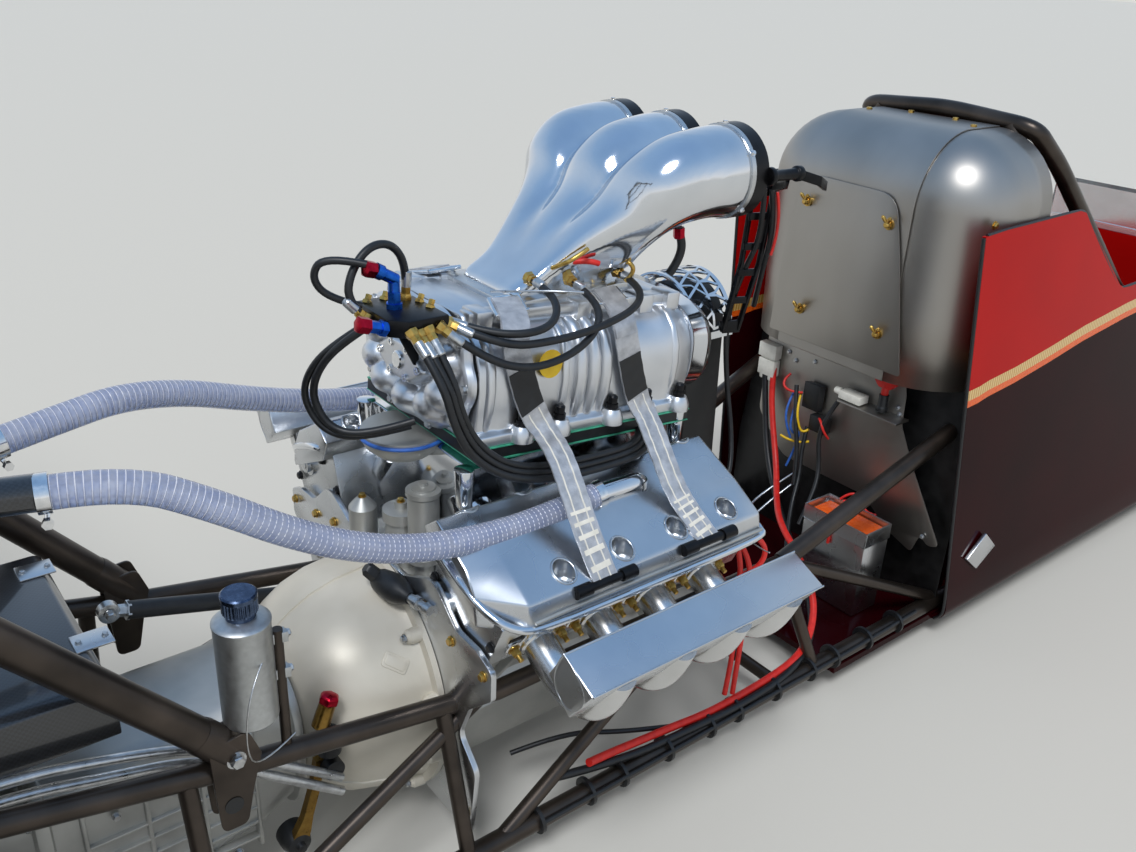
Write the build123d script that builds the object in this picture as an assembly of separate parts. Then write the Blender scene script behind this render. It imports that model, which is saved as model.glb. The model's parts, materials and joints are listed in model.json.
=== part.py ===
"""Rear-engined drag racing car with a supercharged V8, on its wheels.

Millimetres. +X points to the nose, +Y to the driver's left, +Z up, ground at z = 0.
Stations along the car (names ending in _S) are counted forwards from the rear face of the
motor plate. The finished car is moved along X once, so that its origin lies on the ground
under the middle of its box.
"""
import os

from build123d import *

# Main stations and heights
WHEELBASE = 7000.0
REAR_AXLE_S = -1300.0
FRONT_AXLE_S = REAR_AXLE_S + WHEELBASE
CRANK_Z = 285.0

# Frame tubes
LOWER_RAIL_Y = 335.0
LOWER_RAIL_Z = 85.0
LOWER_RAIL_R = 19.0
UPPER_RAIL_Y = 250.0
UPPER_RAIL_Z = 337.0
UPPER_RAIL_R = 17.5
BRACE_R = 14.0
CAGE_R = 20.5
CAGE_NODE_S = 830.0
TRUSS_REAR_S = -440.0
LOWER_RAIL_REAR_S = -600.0
AXLE_PLATE_T = 12.0
AXLE_PLATE_Y = 250.0
AXLE_PLATE_TOP_Z = 700.0
AXLE_PLATE_LOW_Z = 300.0

# Rear axle, slicks and brakes
REAR_TYRE_R = 450.0
REAR_TYRE_W = 430.0
REAR_TYRE_Y = 620.0
REAR_RIM_R = 205.0
REAR_RIM_WALL = 12.0
REAR_SHAFT_R = 20.0
AXLE_TUBE_R = 50.0
AXLE_TUBE_END_Y = 330.0
GEAR_CASE_R = 140.0
GEAR_CASE_W = 190.0
BRAKE_DISC_R = 140.0
BRAKE_DISC_T = 22.0
BRAKE_DISC_Y = 365.0
RUNNING_FIT = 0.05
MOVING_GAP = 6.0

# Front axle, knuckles and wheels
FRONT_TYRE_R = 280.0
FRONT_TYRE_W = 90.0
FRONT_TYRE_Y = 520.0
FRONT_RIM_R = 200.0
KINGPIN_Y = 430.0
KINGPIN_R = 8.0
SLEEVE_R = 19.0
SLEEVE_H = 70.0
AXLE_BEAM_R = 16.0
STUB_R = 12.0
STEER_ARM_L = 120.0
TIE_PIN_R = 5.0

# Engine
PLATE_T = 10.0
BORE_PITCH = 122.0
FIRST_PORT_S = 100.0
CYLINDERS_PER_BANK = 4
BLOCK_REAR_S = PLATE_T
BLOCK_LENGTH = 545.0
PAN_LOW_Z = 102.0
HEAD_LENGTH = 560.0
PORT_Y = 346.0
PORT_Z = 502.0
PIPE_R = 29.0
BLOWER_TILT = 4.5
BLOWER_CASE_S = 90.0
BLOWER_CASE_L = 470.0
BLOWER_HALF_W = 172.0
BLOWER_LOW_Z = 775.0
BLOWER_H = 205.0
BLOWER_COVER_R = 128.0
HAT_TUBE_R = 75.0
HAT_PITCH = 148.0
HAT_TUBES = 3
HAT_RISE = 12.0
HAT_BASE_Z = 985.0
MOUTH_S = 650.0
MOUTH_Z = 1162.0
COLLAR_R = 86.0

# Bell housing and gearbox
BELL_R = 240.0
BELL_REAR_R = 150.0
BELL_L = 270.0
GEARBOX_REAR_S = -900.0

# Cockpit and body
WALL = 12.0
BODY_REAR_S = 1250.0
COWL_S = 2550.0
NOSE_TIP_S = 6400.0
TOW_EYE_R = 10.0
TOW_EYE_T = 12.0
FLOOR_Z = 50.0
FLOOR_T = LOWER_RAIL_Z - LOWER_RAIL_R - FLOOR_Z
BULKHEAD_S = 1300.0
BACK_PANEL_S = 1220.0
SHELL_FRONT_S = 1450.0
HOOP_S = 1490.0

# Rear wing, wheelie bar and parachutes
WING_S = -1900.0
WING_Z = 2060.0
WING_HALF_SPAN = 750.0
WING_CHORD = 520.0
STRUT_R = 25.0
STRUT_FOOT_S = -374.0
STRUT_FOOT_Z = 447.0
WHEELIE_END_S = -3000.0
WHEELIE_WHEEL_R = 75.0
WHEELIE_WHEEL_Z = 125.0
WHEELIE_Y = 150.0

LOW = (Align.CENTER, Align.CENTER, Align.MIN)


def rod(start, end, radius):
    """A round bar from one point to another."""
    a, b = Vector(*start), Vector(*end)
    return Plane(origin=a, z_dir=b - a) * Cylinder(radius, (b - a).length, align=LOW)


def tube_run(points, radius):
    """Round bar through several points, with a ball in each corner."""
    run = rod(points[0], points[1], radius)
    for start, end in zip(points[1:-1], points[2:]):
        run += Pos(*start) * Sphere(radius)
        run += rod(start, end, radius)
    return run


def drum_y(s, y, z, radius, width):
    """A drum whose axis lies along Y, centred at y."""
    return Pos(s, y, z) * Rot(90, 0, 0) * Cylinder(radius, width)


def drum_x(s_start, s_end, y, z, radius):
    """A drum whose axis lies along X."""
    return rod((s_start, y, z), (s_end, y, z), radius)


def side_cut(points, y_from, y_to):
    """Prism of an outline seen from the side, between two values of y."""
    plane = Plane(origin=(0, y_to, 0), x_dir=(1, 0, 0), z_dir=(0, -1, 0))
    return extrude(plane * Polygon(*points, align=None), y_to - y_from, dir=(0, -1, 0))


def cross_cut(points, s_from, s_to):
    """Prism of an outline seen from behind, between two stations."""
    outline = Plane.YZ.offset(s_from) * Polygon(*points, align=None)
    return extrude(outline, s_to - s_from, dir=(1, 0, 0))


def block(s_from, s_to, y_from, y_to, z_from, z_to):
    """A plain block between two corners."""
    size = (s_to - s_from, y_to - y_from, z_to - z_from)
    middle = ((s_from + s_to) / 2, (y_from + y_to) / 2, (z_from + z_to) / 2)
    return Pos(*middle) * Box(*size)


def both(piece):
    """The piece and its mirror image on the other side of the car."""
    return piece + mirror(piece, about=Plane.XZ)


def turned(profile, s, z):
    """Turn a profile of (radius, y) points about the cross-car axis at s, z."""
    face = Polygon(*profile, align=None)
    return Pos(s, 0, z) * revolve(face, Axis.Y)


# Main rails

def upper_rail_points(side):
    """The bent upper rail from the axle plate to the cage node."""
    y = side * UPPER_RAIL_Y
    return [
        (REAR_AXLE_S - 90, y, AXLE_PLATE_TOP_Z - 60),
        (-362, y, 412),
        (90, y, UPPER_RAIL_Z),
        (CAGE_NODE_S, y, UPPER_RAIL_Z),
    ]


def lower_rail_points(side):
    """The lower rail, kicked in and up to the axle plate at its rear end."""
    return [
        (REAR_AXLE_S - 40, side * (AXLE_PLATE_Y + AXLE_PLATE_T), AXLE_PLATE_LOW_Z + 40),
        (LOWER_RAIL_REAR_S, side * LOWER_RAIL_Y, LOWER_RAIL_Z),
        (COWL_S, side * LOWER_RAIL_Y, LOWER_RAIL_Z),
    ]


upper_rails = both(tube_run(upper_rail_points(-1), UPPER_RAIL_R))
lower_rails = both(tube_run(lower_rail_points(-1), LOWER_RAIL_R))

# Side braces: from (station, rail) to (station, rail)
BRACES = [
    ((-20, "upper"), (-20, "lower")),
    ((TRUSS_REAR_S, "upper"), (TRUSS_REAR_S, "lower")),
    ((60, "upper"), (TRUSS_REAR_S - 130, "lower")),
    ((40, "lower"), (600, "upper")),
    ((CAGE_NODE_S, "upper"), (CAGE_NODE_S + 60, "lower")),
    ((CAGE_NODE_S, "upper"), (1370, "lower")),
    ((-950, "upper"), (LOWER_RAIL_REAR_S, "lower")),
]


def on_rail(station, rail):
    """Centre of the right-hand upper or lower rail at a station ahead of the axle."""
    points = upper_rail_points(-1) if rail == "upper" else lower_rail_points(-1)
    for start, end in zip(points[:-1], points[1:]):
        if start[0] <= station <= end[0]:
            share = (station - start[0]) / (end[0] - start[0])
            return tuple(a + share * (b - a) for a, b in zip(start, end))
    raise ValueError("station off the rail")


frame_braces = Part()
for start, end in BRACES:
    frame_braces += rod(on_rail(*start), on_rail(*end), BRACE_R)
frame_braces = both(frame_braces)

# Tubes across the car: (station, rail)
CROSS_TUBES = [(-700, "upper"), (TRUSS_REAR_S, "lower"), (780, "lower"), (1370, "lower")]
for station, rail in CROSS_TUBES:
    x, y, z = on_rail(station, rail)
    frame_braces += rod((x, y, z), (x, -y, z), BRACE_R)
frame_braces = frame_braces - upper_rails - lower_rails

# Roll cage round the driver
HOOP_LOW = (HOOP_S, -LOWER_RAIL_Y + 20, LOWER_RAIL_Z)
HOOP_SHOULDER = (HOOP_S, -290, 930)
HOOP_TOP = (HOOP_S, -150, 1165)
CAGE_KNEE = (1800, -270, 880)
CAGE_FRONT = (COWL_S - 30, -262, 640)
CAGE_ELBOW = (HOOP_S, -300, 600)
cage_side = tube_run([HOOP_LOW, CAGE_ELBOW, HOOP_SHOULDER, HOOP_TOP], CAGE_R)
cage_side += tube_run([HOOP_TOP, CAGE_KNEE, CAGE_FRONT], CAGE_R)
cage_side += rod((CAGE_NODE_S, -UPPER_RAIL_Y, UPPER_RAIL_Z), CAGE_ELBOW, CAGE_R)
cage_side += rod(CAGE_ELBOW, (COWL_S - 60, -LOWER_RAIL_Y + 30, 330), BRACE_R)
cage_side += Pos(*HOOP_TOP) * Sphere(CAGE_R)
roll_cage = both(cage_side)
roll_cage += rod(HOOP_TOP, (HOOP_S, -HOOP_TOP[1], HOOP_TOP[2]), CAGE_R)
roll_cage = roll_cage - upper_rails - lower_rails - frame_braces

# Plates that carry the rear axle
plate_outline = [
    (REAR_AXLE_S - 150, AXLE_PLATE_TOP_Z - 70),
    (REAR_AXLE_S - 60, AXLE_PLATE_TOP_Z),
    (REAR_AXLE_S + 90, AXLE_PLATE_TOP_Z - 30),
    (REAR_AXLE_S + 110, 430),
    (REAR_AXLE_S + 60, AXLE_PLATE_LOW_Z),
    (REAR_AXLE_S - 130, AXLE_PLATE_LOW_Z),
]
axle_plates = both(side_cut(plate_outline, -AXLE_PLATE_Y - AXLE_PLATE_T, -AXLE_PLATE_Y))
axle_plates = axle_plates - drum_y(REAR_AXLE_S, 0, REAR_TYRE_R, AXLE_TUBE_R, 2 * AXLE_TUBE_END_Y)
axle_plates = axle_plates - upper_rails - lower_rails

# Rear axle housing: open bore for the shaft that turns with the wheels
REAR_Z = REAR_TYRE_R
housing = drum_y(REAR_AXLE_S, 0, REAR_Z, AXLE_TUBE_R, 2 * AXLE_TUBE_END_Y)
housing += drum_y(REAR_AXLE_S, 0, REAR_Z, GEAR_CASE_R, GEAR_CASE_W)
housing += drum_x(REAR_AXLE_S, REAR_AXLE_S + 250, 0, REAR_Z, 75)
housing -= drum_y(REAR_AXLE_S, 0, REAR_Z, REAR_SHAFT_R + RUNNING_FIT, 2000)
caliper = block(REAR_AXLE_S - 175, REAR_AXLE_S - 105, -404, -326, REAR_Z - 60, REAR_Z + 60)
caliper -= drum_y(REAR_AXLE_S, -BRAKE_DISC_Y, REAR_Z, BRAKE_DISC_R + MOVING_GAP, BRAKE_DISC_T + 12)
caliper += block(REAR_AXLE_S - 175, REAR_AXLE_S - 155, -340, -AXLE_PLATE_Y - AXLE_PLATE_T, 400, 500)
caliper += block(REAR_AXLE_S - 175, REAR_AXLE_S - 120, -268, -AXLE_PLATE_Y - AXLE_PLATE_T, 400, 500)
brake_calipers = both(caliper)

# Rear wheels: slicks, rims, shaft and discs turn together
half_w = REAR_TYRE_W / 2
tyre_profile = [
    (REAR_RIM_R, -half_w + 30), (REAR_TYRE_R - 90, -half_w), (REAR_TYRE_R - 12, -half_w + 12),
    (REAR_TYRE_R, -half_w + 35), (REAR_TYRE_R, half_w - 35), (REAR_TYRE_R - 12, half_w - 12),
    (REAR_TYRE_R - 90, half_w), (REAR_RIM_R, half_w - 30),
]
rim_half = half_w - 30
rim_profile = [
    (REAR_SHAFT_R, 10), (70, 10), (70, 40), (REAR_RIM_R - 40, 90),
    (REAR_RIM_R - REAR_RIM_WALL, 60), (REAR_RIM_R - REAR_RIM_WALL, -rim_half),
    (REAR_RIM_R, -rim_half), (REAR_RIM_R, rim_half), (REAR_RIM_R - REAR_RIM_WALL, rim_half),
    (REAR_RIM_R - REAR_RIM_WALL, 85), (REAR_RIM_R - 40, 102), (60, 55), (REAR_SHAFT_R, 55),
]
slick = Pos(0, -REAR_TYRE_Y, 0) * turned(tyre_profile, REAR_AXLE_S, REAR_Z)
rim = Pos(0, -REAR_TYRE_Y, 0) * turned([(r, -y) for r, y in rim_profile], REAR_AXLE_S, REAR_Z)
rear_slicks = both(slick)
rear_rims = both(rim)
shaft_half = REAR_TYRE_Y + 40
rear_shaft = drum_y(REAR_AXLE_S, 0, REAR_Z, REAR_SHAFT_R, 2 * shaft_half) - rear_rims
for side in (-1, 1):
    disc_y = side * BRAKE_DISC_Y
    rear_shaft += drum_y(REAR_AXLE_S, disc_y, REAR_Z, BRAKE_DISC_R, BRAKE_DISC_T)

# Engine: plate, block with sump, heads and covers
plate_points = [
    (-LOWER_RAIL_Y + 25, LOWER_RAIL_Z + 30), (-LOWER_RAIL_Y + 10, 250), (-UPPER_RAIL_Y - 15, 300),
    (-UPPER_RAIL_Y - 30, 380), (-345, 470), (-290, 560), (-180, 600), (-90, 505),
]
plate_points = plate_points + [(-y, z) for y, z in reversed(plate_points)]
motor_plate = cross_cut(plate_points, 0, PLATE_T)
motor_plate -= drum_x(-1, PLATE_T + 1, 0, CRANK_Z, 70)
motor_plate = motor_plate - upper_rails - lower_rails - frame_braces

block_points = [(-130, PAN_LOW_Z), (-150, 210), (-120, 250), (-235, 400), (-150, 490), (-60, 470)]
block_points = block_points + [(-y, z) for y, z in reversed(block_points)]
engine_block = cross_cut(block_points, BLOCK_REAR_S, BLOCK_REAR_S + BLOCK_LENGTH)
engine_block += drum_x(BLOCK_REAR_S + BLOCK_LENGTH, 720, 0, CRANK_Z, 60)
front_cover = drum_x(BLOCK_REAR_S + BLOCK_LENGTH, 600, 0, CRANK_Z + 20, 135)
engine_block += front_cover

head_points = [(-235, 400), (-330, 474), (-372, 570), (-196, 656), (-150, 490)]
head = cross_cut(head_points, BLOCK_REAR_S + 5, BLOCK_REAR_S + 5 + HEAD_LENGTH)
cylinder_heads = both(head) - engine_block
cover_points = [(-388, 562), (-380, 603), (-318, 642), (-212, 690), (-178, 664)]
valve_cover = cross_cut(cover_points, -8, 572)
valve_cover = valve_cover - head
STUB_S = 390.0
STUB_R_OUT = 22.0
cover_stub = rod((STUB_S, -262, 640), (STUB_S - 30, -258, 724), STUB_R_OUT)
valve_covers = both(valve_cover + cover_stub) - cylinder_heads

intake_points = [(-60, 470), (-150, 490), (-178, 560), (-150, 700), (-150, 800), (0, 800)]
intake_points = intake_points + [(-y, z) for y, z in reversed(intake_points[:-1])]
intake_manifold = cross_cut(intake_points, 40, 560) - cylinder_heads - engine_block

# Exhaust pipes and the sheet covers over their ends
COVER_SECTION = [(-514, 611), (-582, 580), (-533, 511), (-481, 557)]
header_cover = cross_cut(COVER_SECTION, 19, 491 + 20)
header_covers = both(header_cover)
pipes = Part()
for index in range(CYLINDERS_PER_BANK):
    s = FIRST_PORT_S + BORE_PITCH * index
    path = FilletPolyline((s, -PORT_Y + 5, PORT_Z), (s, -468, 424), (s, -530, 560), radius=62)
    mouth = Plane(origin=(s, -PORT_Y + 5, PORT_Z), z_dir=path % 0) * Circle(PIPE_R)
    pipes += sweep(mouth, path)
header_pipes = both(pipes) - header_covers - cylinder_heads

# Supercharger and its drive
blower_frame = Pos(BLOWER_CASE_S, 0, BLOWER_LOW_Z) * Rot(0, BLOWER_TILT, 0)
case_points = [
    (-BLOWER_HALF_W, 0), (-BLOWER_HALF_W - 8, 90), (-140, 175), (-105, BLOWER_H),
]
case_points = case_points + [(-y, z) for y, z in reversed(case_points)]
blower_case = blower_frame * cross_cut(case_points, 0, BLOWER_CASE_L)
intake_manifold = intake_manifold - blower_frame * Box(
    1200, 600, 300, align=(Align.CENTER, Align.CENTER, Align.MIN))
rear_cover = blower_frame * drum_x(-38, 0, 0, 100, BLOWER_COVER_R)
front_cover = blower_frame * drum_x(BLOWER_CASE_L, BLOWER_CASE_L + 40, 0, 100, 150)
front_cover += blower_frame * drum_x(BLOWER_CASE_L + 40, BLOWER_CASE_L + 70, 0, 100, 85)
blower_covers = rear_cover + front_cover
intake_manifold = intake_manifold - blower_covers

BLOWER_NOSE_L = 70.0
BELT_GAP = 25.0
UPPER_PULLEY_S = BLOWER_CASE_S + BLOWER_CASE_L + BLOWER_NOSE_L + BELT_GAP
UPPER_PULLEY_Z = 838.0
PULLEY_W = 95.0
UPPER_PULLEY_R = 72.0
LOWER_PULLEY_R = 92.0
BELT_T = 9.0


def belt_outline(grow):
    """Loop round the two pulleys, grown outwards."""
    upper = Plane.YZ.offset(UPPER_PULLEY_S) * Pos(0, UPPER_PULLEY_Z) * Circle(UPPER_PULLEY_R + grow)
    lower = Plane.YZ.offset(UPPER_PULLEY_S) * Pos(0, CRANK_Z) * Circle(LOWER_PULLEY_R + grow)
    wide, narrow = LOWER_PULLEY_R + grow, UPPER_PULLEY_R + grow
    web = Polygon((-wide, CRANK_Z), (wide, CRANK_Z), (narrow, UPPER_PULLEY_Z),
                  (-narrow, UPPER_PULLEY_Z), align=None)
    return upper + lower + Plane.YZ.offset(UPPER_PULLEY_S) * web


belt = extrude(belt_outline(BELT_T), PULLEY_W, dir=(1, 0, 0))
belt -= extrude(belt_outline(0), PULLEY_W, dir=(1, 0, 0))
upper_pulley = drum_x(UPPER_PULLEY_S, UPPER_PULLEY_S + PULLEY_W, 0, UPPER_PULLEY_Z, UPPER_PULLEY_R)
lower_pulley = drum_x(UPPER_PULLEY_S, UPPER_PULLEY_S + PULLEY_W, 0, CRANK_Z, LOWER_PULLEY_R)
upper_pulley += drum_x(600, UPPER_PULLEY_S, 0, UPPER_PULLEY_Z, 30)
drive_pulleys = (upper_pulley + lower_pulley) - belt - blower_covers - engine_block
drive_belt = belt

# Injector hat with three throats and black rings at their mouths
hat_points = [
    (190, HAT_BASE_Z - 30), (190, HAT_BASE_Z + 55), (400, 1196), (470, 1200),
    (560, 1090), (484, HAT_BASE_Z - 60),
]
injector_hat = side_cut(hat_points, -195, 195)
throttle_rings = Part()
mouth_plane = Pos(MOUTH_S, 0, MOUTH_Z) * Rot(0, -HAT_RISE, 0)
for index in range(HAT_TUBES):
    y = HAT_PITCH * (index - (HAT_TUBES - 1) / 2)
    throat = mouth_plane * Pos(0, y, 0) * drum_x(-240, 0, 0, 0, HAT_TUBE_R - 2)
    bore = mouth_plane * Pos(0, y, 0) * drum_x(-70, 90, 0, 0, HAT_TUBE_R - 8)
    injector_hat = injector_hat + throat - bore
    ring = mouth_plane * Pos(0, y, 0) * drum_x(0, 70, 0, 0, HAT_TUBE_R - 1)
    throttle_rings += ring - bore
injector_hat = injector_hat - blower_case

# Fuel block behind the hat
fuel_block = block(-60, 60, -150, 30, 900, 985)
fuel_block += block(0, 75, -70, -40, 850, 900)
fuel_block = fuel_block - blower_covers - blower_case

# Bell housing and gearbox
bell = Plane.YZ * Pos(0, CRANK_Z) * Circle(BELL_R - 55)
bell_rear = Plane.YZ.offset(-BELL_L) * Pos(0, CRANK_Z) * Circle(BELL_REAR_R)
bell_housing = loft([bell_rear, bell])
gearbox = drum_x(GEARBOX_REAR_S, -BELL_L, 0, CRANK_Z, 105)
gearbox += block(-620, -BELL_L, -115, 115, CRANK_Z - 90, CRANK_Z + 70)
coupler = rod((GEARBOX_REAR_S, 0, CRANK_Z), (REAR_AXLE_S + 250, 0, REAR_Z), 45)
transmission = (gearbox + coupler) - housing

# Overflow bottle beside the right upper rail, on a post
BOTTLE_S = -335.0
BOTTLE_Y = -240.0
BOTTLE_R = 40.0
POST_R = 6.0
POST_S = BOTTLE_S + BOTTLE_R + POST_R
bottle = [(BOTTLE_S, BOTTLE_Y, z) for z in (482, 664, 697)]
overflow_bottle = rod(bottle[0], bottle[1], BOTTLE_R) + rod(bottle[1], bottle[2], 30)
overflow_bottle += rod((POST_S, BOTTLE_Y - 8, 400), (POST_S, BOTTLE_Y - 8, 600), POST_R)
overflow_bottle += block(BOTTLE_S, POST_S + POST_R, BOTTLE_Y - 16, BOTTLE_Y, 540, 560)
overflow_bottle = overflow_bottle - upper_rails

# Cockpit shell and nose: station, bottom and top heights, half widths low and high
BODY_SECTIONS = [
    (BODY_REAR_S, FLOOR_Z, 1020, 388, 340),
    (COWL_S, FLOOR_Z, 800, 380, 285),
]
NOSE_SECTIONS = [
    (COWL_S, FLOOR_Z, 800, 380, 285),
    (3700, FLOOR_Z, 620, 300, 200),
    (FRONT_AXLE_S + 150, 60, 340, 160, 90),
    (NOSE_TIP_S, 90, 170, 60, 40),
]


def body_section(station, low, high, half_low, half_high, radius):
    """Cross section of the body with rounded corners."""
    face = Polygon((-half_low, low), (half_low, low), (half_high, high), (-half_high, high),
                   align=None)
    return Plane.YZ.offset(station) * fillet(face.vertices(), radius)


outer = loft([body_section(*row, 45) for row in BODY_SECTIONS], ruled=True)
inner = loft([
    Plane.YZ.offset(s) * Polygon((-low_w + WALL, low - 30), (low_w - WALL, low - 30),
                                 (high_w - WALL, high + 30), (-high_w + WALL, high + 30),
                                 align=None)
    for s, low, high, low_w, high_w in BODY_SECTIONS], ruled=True)
SIDE_EDGE = [
    (BODY_REAR_S + 80, 0), (BODY_REAR_S - 40, 1030), (1660, 1030), (1960, 794),
    (COWL_S, 788), (COWL_S, 0),
]
cockpit_side = (outer & side_cut(SIDE_EDGE, -500, -150)) - inner
nose_body = loft([body_section(*row, 36) for row in NOSE_SECTIONS], ruled=True)
belly_pan = block(950, COWL_S, -352, 352, FLOOR_Z, FLOOR_Z + FLOOR_T)

shell_rear = [(-205, 665), (-215, 940), (-125, 1060)]
shell_front = [(-312, 640), (-318, 1000), (-165, 1190)]


def shell_face(points, station, inset):
    """Six-sided face of the head surround."""
    right = [(y + inset, z + (inset if z < 700 else -inset)) for y, z in points]
    return Plane.YZ.offset(station) * Polygon(*right, *[(-y, z) for y, z in reversed(right)],
                                              align=None)


head_shell = loft([shell_face(shell_rear, BACK_PANEL_S, 0),
                   shell_face(shell_front, SHELL_FRONT_S, 0)], ruled=True)
head_shell -= loft([shell_face(shell_rear, BACK_PANEL_S - 1, 8),
                    shell_face(shell_front, SHELL_FRONT_S + 1, 8)], ruled=True)
back_panel = extrude(shell_face(shell_rear, BACK_PANEL_S - 6, 0), 6, dir=(1, 0, 0))
bulkhead_points = [(-350, FLOOR_Z + FLOOR_T), (-345, 300), (-285, 662)]
bulkhead_points = bulkhead_points + [(-y, z) for y, z in reversed(bulkhead_points)]
lower_bulkhead = cross_cut(bulkhead_points, BULKHEAD_S, BULKHEAD_S + 6)
lower_bulkhead = lower_bulkhead - roll_cage - lower_rails - frame_braces - both(cockpit_side)
lower_bulkhead = lower_bulkhead - head_shell
battery_box = block(1000, 1240, -310, -80, FLOOR_Z + FLOOR_T, 300) - frame_braces - lower_rails

# Seat
seat_outline = [
    (1520, 620), (1560, 620), (1680, 150), (2050, 130), (2060, 200), (2085, 200),
    (2080, FLOOR_Z + FLOOR_T), (1600, FLOOR_Z + FLOOR_T),
]
seat = side_cut(seat_outline, -190, 190)

# Steering yoke: turns about a column that runs into the cowl
YOKE_S, YOKE_Z = 2150.0, 640.0
COLUMN_S, COLUMN_Z = COWL_S - 60, 600.0
column_dir = Vector(COLUMN_S - YOKE_S, 0, COLUMN_Z - YOKE_Z).normalized()
column_end = Vector(COLUMN_S, 0, COLUMN_Z)
steering_yoke = rod((YOKE_S, 0, YOKE_Z), tuple(column_end), 12)
yoke_plane = Plane(origin=(YOKE_S, 0, YOKE_Z), x_dir=(0, 1, 0), z_dir=column_dir)
steering_yoke += yoke_plane * Box(230, 60, 12)
for side in (-1, 1):
    steering_yoke += yoke_plane * Pos(side * 115, 20, 0) * Box(28, 110, 24)
column_bush = rod(tuple(column_end - column_dir * 40), tuple(column_end + column_dir * 90), 22)
column_bush -= rod(tuple(column_end - column_dir * 60), tuple(column_end), 12 + RUNNING_FIT)
nose_body += column_bush

# Tow eye at the tip of the nose
tow_eye = block(NOSE_TIP_S - 40, NOSE_TIP_S + 20, -TOW_EYE_T / 2, TOW_EYE_T / 2, 110, 150)
tow_eye += drum_y(NOSE_TIP_S + 20, 0, 130, 20, TOW_EYE_T)
tow_eye -= drum_y(NOSE_TIP_S + 20, 0, 130, TOW_EYE_R, 100)
nose_body += tow_eye

# Windscreen on the cowl
screen = loft([
    Plane.YZ.offset(COWL_S + 8) * Pos(0, 860) * Rectangle(420, 150),
    Plane.YZ.offset(COWL_S + 220) * Pos(0, 775) * Rectangle(500, 20)], ruled=True)
screen -= loft([
    Plane.YZ.offset(COWL_S + 6) * Pos(0, 850) * Rectangle(408, 150),
    Plane.YZ.offset(COWL_S + 210) * Pos(0, 765) * Rectangle(488, 20)], ruled=True)
windscreen = screen - nose_body

# Front axle: beam through the nose, sleeves for the kingpins
FRONT_Z = FRONT_TYRE_R
beam = drum_y(FRONT_AXLE_S, 0, FRONT_Z, AXLE_BEAM_R, 2 * KINGPIN_Y)
for side in (-1, 1):
    beam += Pos(FRONT_AXLE_S, side * KINGPIN_Y, FRONT_Z) * Cylinder(SLEEVE_R, SLEEVE_H)
for side in (-1, 1):
    beam -= Pos(FRONT_AXLE_S, side * KINGPIN_Y, FRONT_Z) * Cylinder(KINGPIN_R + RUNNING_FIT, 200)
for side in (-1, 1):
    beam += rod((FRONT_AXLE_S - 8, side * 330, FRONT_Z), (4900, side * 175, 150), 10)
nose_body = nose_body - drum_y(FRONT_AXLE_S, 0, FRONT_Z, AXLE_BEAM_R, 1000)
front_axle = beam - nose_body

# Knuckle: cheeks above and below the sleeve, kingpin, stub and steering arm
CHEEK_T = 12.0
CHEEK_Z = SLEEVE_H / 2 + 0.3
ARM_Z = FRONT_Z - CHEEK_Z - CHEEK_T / 2
WEB_Y = KINGPIN_Y + SLEEVE_R + MOVING_GAP
HUB_Y = WEB_Y + 10 + MOVING_GAP


def knuckle(side):
    """Steering knuckle of one side."""
    y = side * KINGPIN_Y
    part = Pos(FRONT_AXLE_S, y, FRONT_Z) * Cylinder(KINGPIN_R, 2 * (CHEEK_Z + CHEEK_T))
    web_mid = side * (WEB_Y + 5)
    for level in (-1, 1):
        z = FRONT_Z + level * (CHEEK_Z + CHEEK_T / 2)
        part += Pos(FRONT_AXLE_S, y, z) * Cylinder(SLEEVE_R, CHEEK_T)
        part += Pos(FRONT_AXLE_S, (y + web_mid) / 2, z) * Box(34, abs(web_mid - y), CHEEK_T)
    part += Pos(FRONT_AXLE_S, web_mid, FRONT_Z) * Box(34, 10, 2 * (CHEEK_Z + CHEEK_T))
    stub_end = side * (FRONT_TYRE_Y + 45)
    part += rod((FRONT_AXLE_S, web_mid, FRONT_Z), (FRONT_AXLE_S, stub_end, FRONT_Z), STUB_R)
    arm_end = (FRONT_AXLE_S - STEER_ARM_L, side * KINGPIN_Y, ARM_Z)
    part += rod((FRONT_AXLE_S, y, ARM_Z), arm_end, 6)
    part += Pos(*arm_end) * Cylinder(12, CHEEK_T)
    part -= Pos(*arm_end) * Cylinder(TIE_PIN_R + RUNNING_FIT, 40)
    return part


TIE_S = FRONT_AXLE_S - STEER_ARM_L
TIE_Z = ARM_Z - CHEEK_T / 2 - 9
tie_rod = rod((TIE_S, -KINGPIN_Y, TIE_Z), (TIE_S, KINGPIN_Y, TIE_Z), 7)
for side in (-1, 1):
    tie_rod += Pos(TIE_S, side * KINGPIN_Y, TIE_Z + 12) * Cylinder(TIE_PIN_R, 24)
    tie_rod += Pos(TIE_S, side * KINGPIN_Y, TIE_Z) * Cylinder(11, 16)
TIE_SLOT_S = 28.0
tie_slot = block(TIE_S - TIE_SLOT_S, TIE_S + TIE_SLOT_S, -400, 400, TIE_Z - 20, TIE_Z + 20)
nose_body = nose_body - tie_slot

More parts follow.
